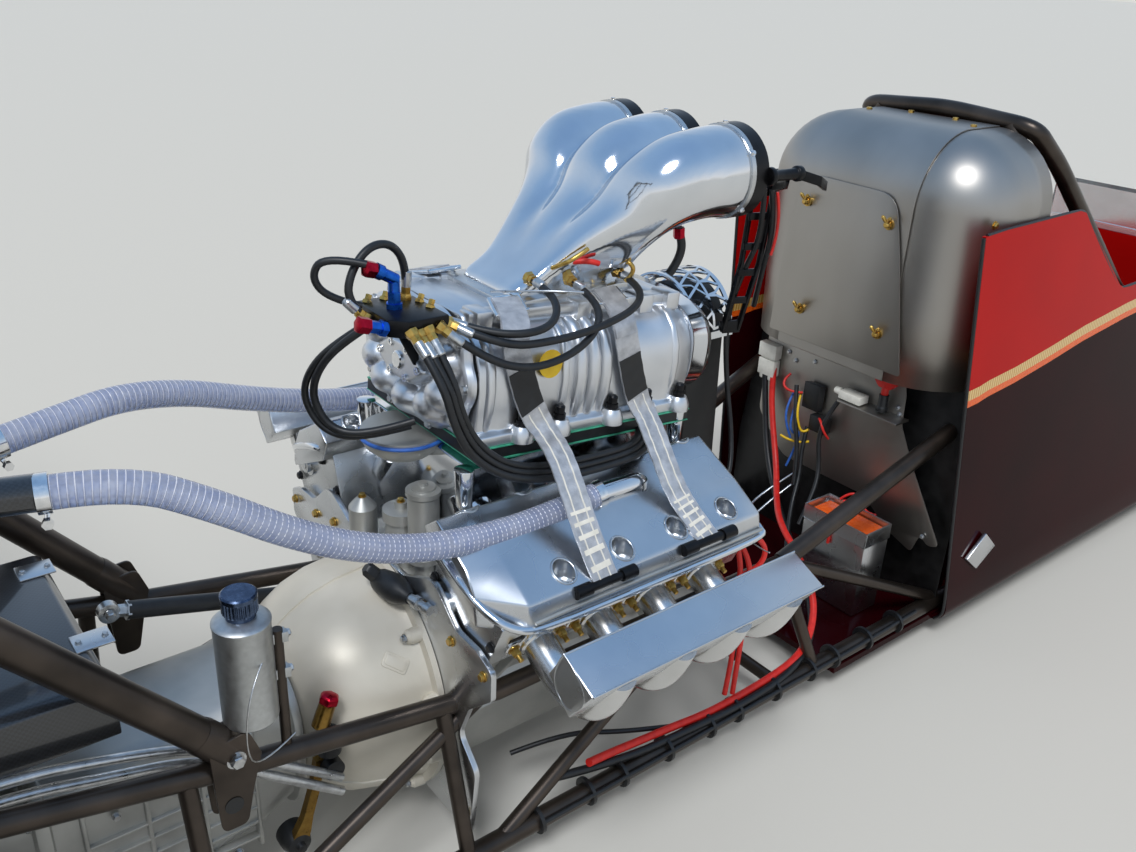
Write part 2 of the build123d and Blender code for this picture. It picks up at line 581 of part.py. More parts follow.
half_f = FRONT_TYRE_W / 2
front_tyre_profile = [
    (FRONT_RIM_R, -half_f + 12), (FRONT_TYRE_R - 30, -half_f), (FRONT_TYRE_R, -half_f + 25),
    (FRONT_TYRE_R, half_f - 25), (FRONT_TYRE_R - 30, half_f), (FRONT_RIM_R, half_f - 12),
]
hub_in = -(FRONT_TYRE_Y - HUB_Y)
front_rim_profile = [
    (STUB_R + RUNNING_FIT, hub_in), (34, hub_in), (34, 6), (FRONT_RIM_R - 12, 16),
    (FRONT_RIM_R - 12, -half_f + 8), (FRONT_RIM_R, -half_f + 8), (FRONT_RIM_R, half_f - 8),
    (FRONT_RIM_R - 12, half_f - 8), (FRONT_RIM_R - 12, 24), (34, 16), (34, 34),
    (STUB_R + RUNNING_FIT, 34),
]


def front_wheel(profile, side):
    """Front tyre or rim of one side."""
    points = [(r, side * y) for r, y in profile]
    return Pos(0, side * FRONT_TYRE_Y, 0) * turned(points, FRONT_AXLE_S, FRONT_Z)


# Front wing either side of the nose
WING_SECTION = [(6060, 150), (6090, 128), (6330, 118), (6345, 126), (6300, 150), (6140, 168)]
front_wing = side_cut(WING_SECTION, -430, 430) + both(
    side_cut([(6030, 95), (6030, 215), (6330, 215), (6370, 95)], -434, -428))
front_wing = front_wing - nose_body

# Rear wing, its end plates and struts
wing_main = [(0, 0), (-60, -38), (-260, -40), (-WING_CHORD + 140, 30), (-200, 18), (-60, 26)]
wing_flap = [(-WING_CHORD + 170, 40), (-WING_CHORD + 40, 90), (-WING_CHORD, 150),
             (-WING_CHORD + 20, 152), (-WING_CHORD + 70, 110)]
WING_NOSE_S = WING_S + WING_CHORD / 2
rear_wing = side_cut([(WING_NOSE_S + x, WING_Z + z) for x, z in wing_main],
                     -WING_HALF_SPAN, WING_HALF_SPAN)
rear_wing += side_cut([(WING_NOSE_S + x, WING_Z + z) for x, z in wing_flap],
                      -WING_HALF_SPAN, WING_HALF_SPAN)
end_plate = side_cut([
    (WING_NOSE_S + 30, WING_Z - 110), (WING_NOSE_S + 30, WING_Z + 90),
    (WING_NOSE_S - WING_CHORD - 20, WING_Z + 200), (WING_NOSE_S - WING_CHORD - 20, WING_Z - 110)],
    -WING_HALF_SPAN - 5, -WING_HALF_SPAN)
wing_end_plates = both(end_plate)

front_strut_top = (WING_NOSE_S - 60, -UPPER_RAIL_Y, WING_Z - 38)
rear_strut_top = (WING_NOSE_S - 330, -UPPER_RAIL_Y, WING_Z - 20)
strut_side = rod((STRUT_FOOT_S, -UPPER_RAIL_Y, STRUT_FOOT_Z), front_strut_top, STRUT_R)
strut_side += rod((REAR_AXLE_S - 100, -AXLE_PLATE_Y - 6, AXLE_PLATE_TOP_Z - 40),
                  rear_strut_top, STRUT_R - 8)
strut_side += block(STRUT_FOOT_S - 26, STRUT_FOOT_S + 26, -UPPER_RAIL_Y - 8, -UPPER_RAIL_Y + 8,
                    on_rail(STRUT_FOOT_S, "upper")[2], STRUT_FOOT_Z + 10)
wing_struts = both(strut_side) - rear_wing - upper_rails - axle_plates - overflow_bottle

# Wheelie bar
LOW_BAR_S, LOW_BAR_Z = REAR_AXLE_S - 110, 325.0
HIGH_BAR_S, HIGH_BAR_Z = REAR_AXLE_S - 100, 590.0
bar_side = rod((LOW_BAR_S, -AXLE_PLATE_Y + 20, LOW_BAR_Z),
               (WHEELIE_END_S, -WHEELIE_Y, WHEELIE_WHEEL_Z), 14)
bar_side += rod((HIGH_BAR_S, -AXLE_PLATE_Y + 20, HIGH_BAR_Z),
                (WHEELIE_END_S + 250, -WHEELIE_Y - 12, 150), 12)
bar_side += rod((WHEELIE_END_S + 760, -WHEELIE_Y - 30, 218), (WHEELIE_END_S + 760, 0, 218), 9)
wheelie_bar = both(bar_side)
wheelie_bar += rod((WHEELIE_END_S, -WHEELIE_Y - 16, WHEELIE_WHEEL_Z),
                   (WHEELIE_END_S, WHEELIE_Y + 16, WHEELIE_WHEEL_Z), 8)
wheelie_bar += rod((LOW_BAR_S, -AXLE_PLATE_Y, LOW_BAR_Z), (LOW_BAR_S, AXLE_PLATE_Y, LOW_BAR_Z), 12)
wheelie_bar += rod((HIGH_BAR_S, -AXLE_PLATE_Y, HIGH_BAR_Z),
                   (HIGH_BAR_S, AXLE_PLATE_Y, HIGH_BAR_Z), 12)
wheelie_wheels = Part()
for side in (-1, 1):
    wheelie_wheels += drum_y(WHEELIE_END_S, side * 95, WHEELIE_WHEEL_Z, WHEELIE_WHEEL_R, 50)
wheelie_wheels += drum_y(WHEELIE_END_S, 0, WHEELIE_WHEEL_Z, 18, 240)
wheelie_wheels -= drum_y(WHEELIE_END_S, 0, WHEELIE_WHEEL_Z, 8 + RUNNING_FIT, 400)

# Parachute packs
pack = block(-2080, -1720, -190, -20, 692, 860)
parachute_packs = both(pack)
chute_shelf = block(-2060, REAR_AXLE_S - 90, -170, 170, 680, 692)
chute_shelf += block(REAR_AXLE_S - 112, REAR_AXLE_S - 88, -AXLE_PLATE_Y, AXLE_PLATE_Y, 656, 680)
chute_shelf = chute_shelf - upper_rails - wing_struts

# Carbon deck box behind the bell housing, torque strut and breather tubes
deck_box = block(-1035, -500, -200, 200, on_rail(-700, "upper")[2] + BRACE_R, 595)
torque_strut = rod((-68, 150, 376), (-424, 150, 472), 14) - bell_housing
BREATHER_R = 24.0
TANK_LEG_S = -1168.0
breather_tubes = rod((-540, -195, 893), (-1150, -150, 960), BREATHER_R)
breather_tubes += rod((-540, 100, 838), (-1150, 100, 930), BREATHER_R)
breather_tank = breather_tubes + block(-1330, -1150, -200, 200, 850, 1010)
for side in (-1, 1):
    rail = on_rail(TANK_LEG_S, "upper")
    breather_tank += rod((TANK_LEG_S, side * 185, 860), (TANK_LEG_S, side * UPPER_RAIL_Y, rail[2]), 9)
breather_tank = breather_tank - upper_rails

nodes = {
    "lower_rails": lower_rails,
    "upper_rails": upper_rails,
    "frame_braces": frame_braces,
    "roll_cage": roll_cage,
    "axle_plates": axle_plates,
    "rear_axle_housing": housing,
    "brake_calipers": brake_calipers,
    "rear_slicks": rear_slicks,
    "rear_rims": rear_rims + rear_shaft,
    "motor_plate": motor_plate,
    "engine_block": engine_block,
    "cylinder_heads": cylinder_heads,
    "valve_covers": valve_covers,
    "intake_manifold": intake_manifold,
    "header_covers": header_covers,
    "header_pipes": header_pipes,
    "blower_case": blower_case,
    "blower_covers": blower_covers,
    "drive_pulleys": drive_pulleys,
    "drive_belt": drive_belt,
    "injector_hat": injector_hat,
    "throttle_rings": throttle_rings,
    "fuel_block": fuel_block,
    "bell_housing": bell_housing,
    "transmission": transmission,
    "overflow_bottle": overflow_bottle,
    "cockpit_sides": both(cockpit_side),
    "nose_body": nose_body,
    "belly_pan": belly_pan,
    "head_shell": head_shell,
    "rear_bulkheads": back_panel + lower_bulkhead,
    "battery_box": battery_box,
    "seat": seat,
    "steering_yoke": steering_yoke,
    "windscreen": windscreen,
    "front_axle": front_axle,
    "knuckle_right": knuckle(-1),
    "knuckle_left": knuckle(1),
    "tie_rod": tie_rod,
    "front_tyre_right": front_wheel(front_tyre_profile, -1),
    "front_tyre_left": front_wheel(front_tyre_profile, 1),
    "front_rim_right": front_wheel(front_rim_profile, -1),
    "front_rim_left": front_wheel(front_rim_profile, 1),
    "front_wing": front_wing,
    "rear_wing": rear_wing + wing_end_plates,
    "wing_struts": wing_struts,
    "wheelie_bar": wheelie_bar,
    "wheelie_wheels": wheelie_wheels,
    "parachute_packs": parachute_packs,
    "chute_shelf": chute_shelf,
    "deck_box": deck_box,
    "torque_strut": torque_strut,
    "breather_tank": breather_tank,
}

boxes = [node.bounding_box() for node in nodes.values()]
shift = -(min(box.min.X for box in boxes) + max(box.max.X for box in boxes)) / 2
print("shift of the stations along X:", round(shift, 3))

os.makedirs("parts", exist_ok=True)
for name, node in nodes.items():
    export_step(Pos(shift, 0, 0) * Compound(node.solids()), f"parts/{name}.step")
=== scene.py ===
# %% [markdown]
# Drag racing car, dressed
#
# The CAD model gives every piece of this rear-engined dragster its place and size. This file
# gives the pieces their surfaces: polished castings, browned steel tube, candy paint, rubber.
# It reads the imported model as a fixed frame, adds meshes around it and writes nothing back.

import json
import math

import bmesh
import bpy
from mathutils import Matrix, Vector


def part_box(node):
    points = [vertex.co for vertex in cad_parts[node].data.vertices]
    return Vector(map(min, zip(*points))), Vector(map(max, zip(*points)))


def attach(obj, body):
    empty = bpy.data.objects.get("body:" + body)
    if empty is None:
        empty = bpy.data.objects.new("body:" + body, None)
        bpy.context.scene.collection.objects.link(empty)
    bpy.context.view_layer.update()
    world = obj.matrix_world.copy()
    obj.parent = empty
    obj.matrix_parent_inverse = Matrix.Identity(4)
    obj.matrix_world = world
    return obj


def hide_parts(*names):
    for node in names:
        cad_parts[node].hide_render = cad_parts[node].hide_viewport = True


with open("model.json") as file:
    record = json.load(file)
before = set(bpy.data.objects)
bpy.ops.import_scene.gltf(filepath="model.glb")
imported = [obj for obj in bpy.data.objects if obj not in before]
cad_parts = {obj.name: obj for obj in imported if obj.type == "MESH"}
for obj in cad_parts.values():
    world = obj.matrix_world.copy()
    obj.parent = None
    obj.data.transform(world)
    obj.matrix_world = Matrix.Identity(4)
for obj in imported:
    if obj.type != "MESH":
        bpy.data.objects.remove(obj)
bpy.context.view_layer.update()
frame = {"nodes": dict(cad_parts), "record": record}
MM = 0.001
FORWARD, LEFT, UP = Vector((1, 0, 0)), Vector((0, 1, 0)), Vector((0, 0, 1))
PLATE_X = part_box("motor_plate")[0][0]
print("motor plate at x =", round(PLATE_X, 4))

# %% [markdown]
# The camera
#
# The photograph was taken from behind the right rear wheel, at eye height, looking down on the
# engine. Its place was worked out from pieces of known size, so the render shows the same part
# of the car. Blender's camera looks along its own -Z, with +Y up, so its matrix is built from
# the directions of view, right and up.

# %% Camera
CAMERA_PLACE = Vector((PLATE_X - 0.7274, -1.4158, 1.5084))
CAMERA_YAW = 0.887933
CAMERA_PITCH = 0.433925
CAMERA_ROLL = -0.050213
CAMERA_LENS = 32.415


def aim_camera():
    """Make the camera at the photograph's place and angle."""
    level = Vector((math.cos(CAMERA_YAW), math.sin(CAMERA_YAW), 0))
    forward = level * math.cos(CAMERA_PITCH) - UP * math.sin(CAMERA_PITCH)
    right = forward.cross(UP).normalized()
    down = forward.cross(right)
    side = right * math.cos(CAMERA_ROLL) + down * math.sin(CAMERA_ROLL)
    below = down * math.cos(CAMERA_ROLL) - right * math.sin(CAMERA_ROLL)
    data = bpy.data.cameras.new("camera")
    data.lens = CAMERA_LENS
    camera = bpy.data.objects.new("camera", data)
    bpy.context.collection.objects.link(camera)
    camera.matrix_world = Matrix.Translation(CAMERA_PLACE) @ Matrix(
        (side, -below, -forward)).transposed().to_4x4()
    bpy.context.scene.camera = camera


aim_camera()

# %% [markdown]
# Colours and nodes
#
# A colour is written as a hex value, as a paint chart gives it, and one function turns it into
# the linear numbers that the shader wants. A second function adds a node with its settings and
# links, so that a material reads from top to bottom.

# %% Colours and nodes
def linear(hex_colour):
    """The linear RGBA of an sRGB hex colour."""
    parts = [int(hex_colour[i:i + 2], 16) / 255 for i in (1, 3, 5)]
    values = [c / 12.92 if c <= 0.04045 else ((c + 0.055) / 1.055) ** 2.4 for c in parts]
    return (*values, 1.0)


def add_node(tree, kind, sockets=None, **settings):
    """Add a node; sockets gives its inputs, each a value or another node's output."""
    made = tree.nodes.new(kind)
    for name, value in settings.items():
        setattr(made, name, value)
    for name, value in (sockets or {}).items():
        if isinstance(value, bpy.types.NodeSocket):
            tree.links.new(value, made.inputs[name])
        else:
            made.inputs[name].default_value = value
    return made


def new_material(name, sockets):
    """A material with one shader; returns it, its tree, the shader and the place in metres."""
    material = bpy.data.materials.new(name)
    material.use_nodes = True
    tree = material.node_tree
    shader = tree.nodes["Principled BSDF"]
    for key, value in sockets.items():
        shader.inputs[key].default_value = value
    place = add_node(tree, "ShaderNodeTexCoord").outputs["Object"]
    return material, tree, shader, place


def two_colours(tree, share, low, high):
    """A blend of two hex colours by a share between 0 and 1."""
    return add_node(tree, "ShaderNodeMix", {
        0: share, 6: linear(low), 7: linear(high)}, data_type="RGBA").outputs[2]


# %% [markdown]
# Wear and grain
#
# Hardly any surface on a race car is one colour. The first helper lays a soft noise between two
# colours, and gives the roughness the same noise, so that clean and handled areas differ. The
# second raises a fine texture: tool lines, sand grit, a brushed grain or a weave.

# %% Mottle and grain
def mottle(tree, shader, place, size_mm, low, high, rough_low, rough_high, stretch=(1, 1, 1)):
    """Noise of that size between two colours and two roughnesses."""
    mapping = add_node(tree, "ShaderNodeMapping", {"Vector": place, "Scale": stretch})
    noise = add_node(tree, "ShaderNodeTexNoise", {
        "Vector": mapping.outputs["Vector"], "Scale": 1 / (size_mm * MM), "Detail": 3.0})
    middle = {"Value": noise.outputs["Fac"], "From Min": 0.25, "From Max": 0.75}
    share = add_node(tree, "ShaderNodeMapRange", middle)
    rough = add_node(tree, "ShaderNodeMapRange", {
        **middle, "To Min": rough_low, "To Max": rough_high})
    colour = two_colours(tree, share.outputs["Result"], low, high)
    tree.links.new(colour, shader.inputs["Base Color"])
    tree.links.new(rough.outputs["Result"], shader.inputs["Roughness"])


def add_grain(tree, shader, place, kind, size_mm, depth_mm, strength, sockets=None,
              stretch=(1, 1, 1)):
    """Bump from a texture of that kind, size and depth."""
    mapping = add_node(tree, "ShaderNodeMapping", {"Vector": place, "Scale": stretch})
    texture = add_node(tree, "ShaderNodeTex" + kind, {
        "Vector": mapping.outputs["Vector"], "Scale": 1 / (size_mm * MM), **(sockets or {})})
    bump = add_node(tree, "ShaderNodeBump", {
        "Height": texture.outputs["Distance" if kind == "Voronoi" else "Fac"],
        "Distance": depth_mm * MM, "Strength": strength})
    tree.links.new(bump.outputs["Normal"], shader.inputs["Normal"])


def surface(name, mottling, grain=None, sockets=None):
    """A material with its mottling, its grain and settings of the shader."""
    material, tree, shader, place = new_material(name, sockets or {})
    mottle(tree, shader, place, *mottling)
    if grain:
        add_grain(tree, shader, place, *grain)
    return material


# %% [markdown]
# Fittings, wires and trim
#
# The small coloured things are what makes a race engine look busy: brass and blue fittings, red
# battery cable, a gold lever. Most are anodised or bare metal, or moulded plastic, so one
# function makes each kind and a table gives the colours.

# %% Fittings and wires
def small_metal(name, low, high, rough=0.25):
    """Turned or anodised metal of small fittings."""
    return surface(name, (9, low, high, rough, rough + 0.12), None, {"Metallic": 1.0})


def small_plastic(name, low, high, rough=0.38):
    """Moulded or extruded plastic, a little dusty."""
    return surface(name, (14, low, high, rough, rough + 0.15))


def pattern_stripe():
    """Gold stripe foil with a slanting pattern, under lacquer."""
    material, tree, shader, place = new_material(
        "patterned gold stripe", {"Metallic": 0.3, "Roughness": 0.35, "Coat Weight": 0.8})
    wave = add_node(tree, "ShaderNodeTexWave", {
        "Vector": place, "Scale": 1 / (30 * MM), "Distortion": 1.0}, bands_direction="X")
    tree.links.new(two_colours(tree, wave.outputs["Fac"], "#c98a1c", "#edd28a"),
                   shader.inputs["Base Color"])
    return material


EXTRAS = {
    # Bare, plated and anodised metal: small sharp highlights, and strong colour under a clear skin
    "brass": small_metal("turned brass", "#b08740", "#d8b768"),
    "steel": small_metal("zinc-plated steel", "#a9aaab", "#cfd0d0"),
    "chrome": small_metal("chromed steel", "#d4d6d8", "#ececec", 0.05),
    "blue": small_metal("blue anodised aluminium", "#1b4fae", "#2d6fd2"),
    "red_metal": small_metal("red anodised aluminium", "#9c1226", "#c01f35"),
    "satin_alloy": small_metal("satin spun aluminium", "#b4b6b6", "#c6c8c8", 0.38),
    "blue_steel": small_metal("blued knurled steel", "#39465c", "#5d6c86", 0.2),
    "gold": small_metal("gold anodised aluminium", "#7d6030", "#9f7e40"),
    # Plastic and paper: even colour and a soft highlight
    "red": small_plastic("red cable insulation", "#c01a17", "#dc2c24"),
    "black": small_plastic("black hose cover", "#0d0e10", "#1c1e21"),
    "white": small_plastic("white moulded nylon", "#d9d9d2", "#ecece6"),
    "yellow": small_plastic("yellow vinyl", "#e0b512", "#f0cb28"),
    "green": small_plastic("green gasket paper", "#2f8f72", "#4fb797"),
    "blue_wire": small_plastic("blue wire insulation", "#2452a8", "#3b74cf"),
    "orange": small_plastic("orange lacquer stripe", "#e2560f", "#f06a1c", 0.2),
    "gold_stripe": pattern_stripe(),
    # Wire woven at 2 mm, which glitters as squares of light and shade
    "braid": surface("stainless wire braid", (12, "#b3b5b6", "#d9dadb", 0.25, 0.42),
                     ("Checker", 2, 0.5, 0.6), {"Metallic": 1.0}),
    "rib_vinyl": small_plastic("white vinyl helix", "#d5d9e6", "#eef0f7", 0.2),
}

# %% [markdown]
# Finish of every slot
#
# The engine is almost all aluminium, and only the way each piece was made tells them apart: the
# blower and the hat are castings polished by hand, the heads are milled from billet, the valve
# covers are brushed sheet and plate, and the gearbox is left as it came from the sand. Candy
# paint is a clear red over a bright base, under lacquer, which the coat of the shader gives.
# Slick rubber is soft and dull, and the clear hose lets light through its ribs. Each row gives
# the mottling (size in mm, two colours, two roughnesses), the grain and the shader's settings.

# %% Finish of every slot
METAL = {"Metallic": 1.0}
GRIT = {"Detail": 3.0}
SURFACES = {
    # Chromoly tube, oiled and browned by heat and air
    "bare_chromoly": ("oiled bare chromoly tube", (90, "#36312d", "#554c45", 0.3, 0.4), None,
                      {"Metallic": 0.85}),
    # A mirror with the slow waves of hand work
    "polished_cast": ("polished cast aluminium", (90, "#d3d6da", "#e2e4e7", 0.07, 0.13),
                      ("Noise", 70, 0.8, 0.07, {"Detail": 0.0}), METAL),
    # The same casting only buffed: its shapes show as soft bright bands
    "buffed_cast": ("buffed cast aluminium", (90, "#cfd1d4", "#dfe0e2", 0.31, 0.40), None, METAL),
    # Fine even tool lines
    "machined_aluminium": ("machined billet aluminium", (60, "#bfc1c3", "#cdcfd0", 0.24, 0.31),
                           ("Wave", 8, 0.10, 0.25, {"Distortion": 0.6}), METAL),
    # Sheet brushed along its length
    "brushed_aluminium": ("brushed aluminium sheet", (110, "#c3c5c8", "#d3d5d7", 0.24, 0.31),
                          ("Noise", 1.5, 0.04, 0.25, {"Detail": 2.0}, (0.02, 1, 1)), METAL),
    # Grey, dull and grainy
    "sand_cast_alloy": ("sand-cast light alloy", (70, "#a9aaa7", "#c1c1bd", 0.40, 0.52),
                        ("Noise", 2.5, 0.3, 0.3, GRIT), {"Metallic": 0.7}),
    # Warm cream and lightly oil-stained
    "cream_cast": ("passivated cast magnesium", (130, "#c5c0b3", "#d8d4c9", 0.34, 0.44),
                   ("Noise", 3, 0.3, 0.25, GRIT), {"Metallic": 0.15}),
    # Black, dull and faintly scuffed
    "slick_rubber": ("soft slick rubber", (60, "#161616", "#242424", 0.62, 0.82),
                     ("Noise", 4, 0.4, 0.3, GRIT)),
    # Blacker than the slicks, with a low sheen
    "belt_rubber": ("moulded black rubber", (25, "#0c0c0c", "#1a1a1a", 0.42, 0.6)),
    # Even, dark and satin
    "black_anodised": ("black anodised aluminium", (20, "#0d0d0f", "#1b1b1e", 0.25, 0.4), None,
                       {"Metallic": 0.6}),
    # Bright drawn pipe whose gloss the heat has dulled a little
    "steel_pipe": ("heat-tinted steel pipe", (60, "#cfcfce", "#e0e0e0", 0.18, 0.27), None, METAL),
    # Deep red with a fine metallic base
    "red_gloss": ("candy red lacquer", (300, "#b40a0a", "#c40f0d", 0.3, 0.36), None,
                  {"Metallic": 0.3, "Specular IOR Level": 0.0, "Coat Weight": 0.28,
                   "Coat Roughness": 0.03, "Coat IOR": 1.3}),
    # Nearly black, for the lower body
    "maroon_gloss": ("dark maroon lacquer", (400, "#1c0205", "#2d0408", 0.2, 0.24), None,
                     {"Specular IOR Level": 0.0, "Coat Weight": 0.4, "Coat Roughness": 0.02,
                      "Coat IOR": 1.3}),
    # Rolled and lightly scuffed
    "satin_titanium": ("rolled titanium sheet",
                       (190, "#99958f", "#ada9a4", 0.36, 0.45, (1, 1, 0.3)),
                       ("Noise", 2, 0.05, 0.25, {"Detail": 2.0}, (1, 1, 0.03)), METAL),
    # Woven nylon with a 3 mm weave
    "seat_cloth": ("woven black nylon", (80, "#141416", "#232326", 0.7, 0.85),
                   ("Voronoi", 3, 0.6, 0.4), {"Sheen Weight": 0.3}),
    # Clear, with a faint haze where it was wiped
    "clear_screen": ("clear polycarbonate", (100, "#dfe6e8", "#eef3f4", 0.04, 0.1), None,
                     {"Transmission Weight": 0.9, "Roughness": 0.06, "IOR": 1.58}),
    # Milky, with a lavender cast
    "clear_hose": ("clear ribbed vinyl", (15, "#a9b8e0", "#cfd8f0", 0.12, 0.25), None,
                   {"Transmission Weight": 0.55, "IOR": 1.5}),
    # Silver webbing with a 3 mm weave
    "strap_web": ("silver reflective webbing", (18, "#9fa2a8", "#cfd1d6", 0.32, 0.5),
                  ("Voronoi", 3, 0.8, 0.5), {"Metallic": 0.55}),
    # Steel with a black coat, worn a little on its high spots
    "black_steel": ("black-coated steel", (25, "#101011", "#232324", 0.35, 0.5), None,
                    {"Metallic": 0.3}),
}
SURFACES["pack_nylon"] = SURFACES["seat_cloth"]


def carbon_cloth():
    """Carbon cloth under clear resin: tows of 4 mm, a little large so that they show."""
    material, tree, shader, place = new_material(
        "clear-coated carbon cloth", {"Coat Weight": 1.0, "Coat Roughness": 0.06})
    weave = add_node(tree, "ShaderNodeTexChecker", {
        "Vector": place, "Scale": 1 / (4 * MM), "Color1": linear("#101216"),
        "Color2": linear("#1c1f25")})
    tree.links.new(weave.outputs["Color"], shader.inputs["Base Color"])
    noise = add_node(tree, "ShaderNodeTexNoise", {"Vector": place, "Scale": 1 / (30 * MM)})
    rough = add_node(tree, "ShaderNodeMapRange", {
        "Value": noise.outputs["Fac"], "To Min": 0.25, "To Max": 0.4})
    tree.links.new(rough.outputs["Result"], shader.inputs["Roughness"])
    return material


FINISHES = {slot: surface(*row) for slot, row in SURFACES.items()}
FINISHES["carbon_gloss"] = carbon_cloth()
for row in frame["record"]["subparts"]:
    shown = frame["nodes"][row["node"]]
    shown.data.materials.clear()
    shown.data.materials.append(FINISHES[row["material_slot"]])
print(len(frame["nodes"]), "nodes finished")

# %% [markdown]
# Meshes from rings
#
# Castings, pipes and covers all have a section that changes along a line. Places are written in
# millimetres counted from the motor plate, as the car was measured, and one function turns them
# into metres. A second one joins rings of points with faces, which is all a loft is, and blocks
# and turned shapes are made with it.

# %% Places and rings
# A shape written for the right side is mirrored with the first sign; the second pair says
# which way along y a side lies.
SIDES = ((1, "right"), (-1, "left"))
HANDS = ((-1, "right"), (1, "left"))


def at(s, y, z):
    """A point in mm, with s counted forwards from the motor plate, in metres in the frame."""
    return Vector((PLATE_X + s * MM, y * MM, z * MM))


def skin(shape, rings, ends=True, around=True):
    """Join rings of equal length with faces; ends closes the first ring and the last."""
    rows = [[shape.verts.new(point) for point in ring] for ring in rings]
    count = len(rows[0])
    for low, high in zip(rows, rows[1:]):
        for i in range(count if around else count - 1):
            j = (i + 1) % count
            shape.faces.new((low[i], low[j], high[j], high[i]))
    if ends:
        shape.faces.new(rows[0][::-1])
        shape.faces.new(rows[-1])


def slab(shape, outline, ends, axis="z"):
    """A block: one outline, in the plane square to an axis, at each of the ends on that axis."""
    place = {"z": lambda a, b, end: at(a, b, end), "y": lambda a, b, end: at(a, end, b),
             "s": lambda a, b, end: at(end, a, b)}[axis]
    skin(shape, [[place(a, b, end) for a, b in outline] for end in ends])


def brick(shape, s_ends, y_ends, z_ends):
    """A plain block between two values on each axis."""
    (s0, s1), (y0, y1) = s_ends, y_ends
    slab(shape, ((s0, y0), (s1, y0), (s1, y1), (s0, y1)), z_ends)


def circle_angles(count, offset=0.0):
    """Angles that share out a full turn."""
    return [2 * math.pi * (k + offset) / count for k in range(count)]


def squarish(angle, power, power_up=None):
    """Cosine and sine raised to a power, which turns a circle into a rounded box."""
    c, d = math.cos(angle), math.sin(angle)
    return math.copysign(abs(c) ** power, c), math.copysign(abs(d) ** (power_up or power), d)


def square_to(direction):
    """Two unit vectors square to a direction and to each other."""
    guide = UP if abs(direction.normalized().z) < 0.9 else LEFT
    side = direction.cross(guide).normalized()
    return side, direction.normalized().cross(side)


def turn(shape, start, direction, profile, steps=24, hollow=False):
    """Turn a profile of (distance, radius) in mm about an axis through start."""
    side, up = square_to(direction)
    along = direction.normalized()
    rings = []
    for distance, radius in profile:
        middle = start + along * distance * MM
        rings.append([middle + (side * math.cos(a) + up * math.sin(a)) * max(radius, 0.05) * MM
                      for a in circle_angles(steps)])
    skin(shape, rings + rings[:1] if hollow else rings, ends=not hollow)


def mesh_object(name, shape):
    """Turn a bmesh into an object of the scene."""
    mesh = bpy.data.meshes.new(name)
    shape.to_mesh(mesh)
    shape.free()
    piece = bpy.data.objects.new(name, mesh)
    bpy.context.collection.objects.link(piece)
    return piece


def modify(piece, kind, **settings):
    """Add a modifier with its settings."""
    made = piece.modifiers.new(kind, kind)
    for name, value in settings.items():
        setattr(made, name, value)


def apply_modifiers(piece):
    """Keep what the modifiers make as the mesh itself."""
    ready = piece.evaluated_get(bpy.context.evaluated_depsgraph_get())
    made = bpy.data.meshes.new_from_object(ready)
    piece.modifiers.clear()
    piece.data = made


def finish_of(name):
    """Material of a slot or of the small trim."""
    return FINISHES[name] if name in FINISHES else EXTRAS[name]


def dress(piece, finish, nodes, body):
    """Give a new piece its material, body and the nodes it stands for."""
    piece.data.materials.clear()
    piece.data.materials.append(finish_of(finish))
    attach(piece, body)
    if nodes:
        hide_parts(*nodes)
    print(piece.name, "in", finish.replace("_", " "))
    return piece


def place_piece(name, shape, finish, nodes=(), body="root", bevel=0, sharp=32):
    """Turn a bmesh into a finished piece; bevel is in mm."""
    bmesh.ops.remove_doubles(shape, verts=shape.verts, dist=2e-6)
    bmesh.ops.recalc_face_normals(shape, faces=shape.faces)
    piece = mesh_object(name, shape)
    if bevel:
        modify(piece, "BEVEL", width=bevel * MM, segments=2, limit_method="ANGLE",
               angle_limit=math.radians(sharp))
        apply_modifiers(piece)
    piece.data.shade_smooth()
    piece.data.set_sharp_from_angle(angle=math.radians(sharp))
    return dress(piece, finish, nodes, body)


# %% [markdown]
# Hoses, wires and bars
#
# Anything drawn out along a line is a curve with a round bevel. The route's points steer a NURBS
# curve, which is as smooth as a hose is, and a piece may hold several lines of one thickness.

# %% Lines along a route
def steer(curve, route):
    """Add a smooth line to a curve, steered by the route's points."""
    spline = curve.splines.new("NURBS")
    spline.points.add(len(route) - 1)
    for point, place in zip(spline.points, route):
        point.co = (*at(*place), 1)
    spline.order_u = 3
    spline.use_endpoint_u = True
    return spline


def place_lines(name, routes, radius, finish, nodes=(), body="root", steps=3):
    """Round lines of one radius in mm, each along a route of (s, y, z) points."""
    curve = bpy.data.curves.new(name, "CURVE")
    curve.dimensions = "3D"
    curve.bevel_depth = radius * MM
    curve.bevel_resolution = steps
    curve.use_fill_caps = True
    for route in routes:
        steer(curve, route).resolution_u = 6
    piece = bpy.data.objects.new(name, curve)
    bpy.context.collection.objects.link(piece)
    return dress(piece, finish, nodes, body)


# %% [markdown]
# Bolts
#
# A race car is bolted together in plain sight. Each bolt is a washer, a six-sided head with its
# corners taken off, and all the bolts of one assembly are one mesh.

# %% Bolts
def add_bolt(shape, place, out, width, height=None):
    """A hexagon head of that width in mm on its washer."""
    height = height or width * 0.6
    turn(shape, place, out, [(0, width * 0.72), (width * 0.14, width * 0.72)], 16)
    turn(shape, place, out, [
        (width * 0.14, width * 0.55), (height * 0.85, width * 0.55), (height, width * 0.45)], 6)


def place_bolts(name, places, out, width, finish, body="root", height=None):
    """A set of like bolts at (s, y, z) places, all pointing one way."""
    shape = bmesh.new()
    for place in places:
        add_bolt(shape, at(*place), Vector(out), width, height)
    return place_piece(name, shape, finish, body=body)
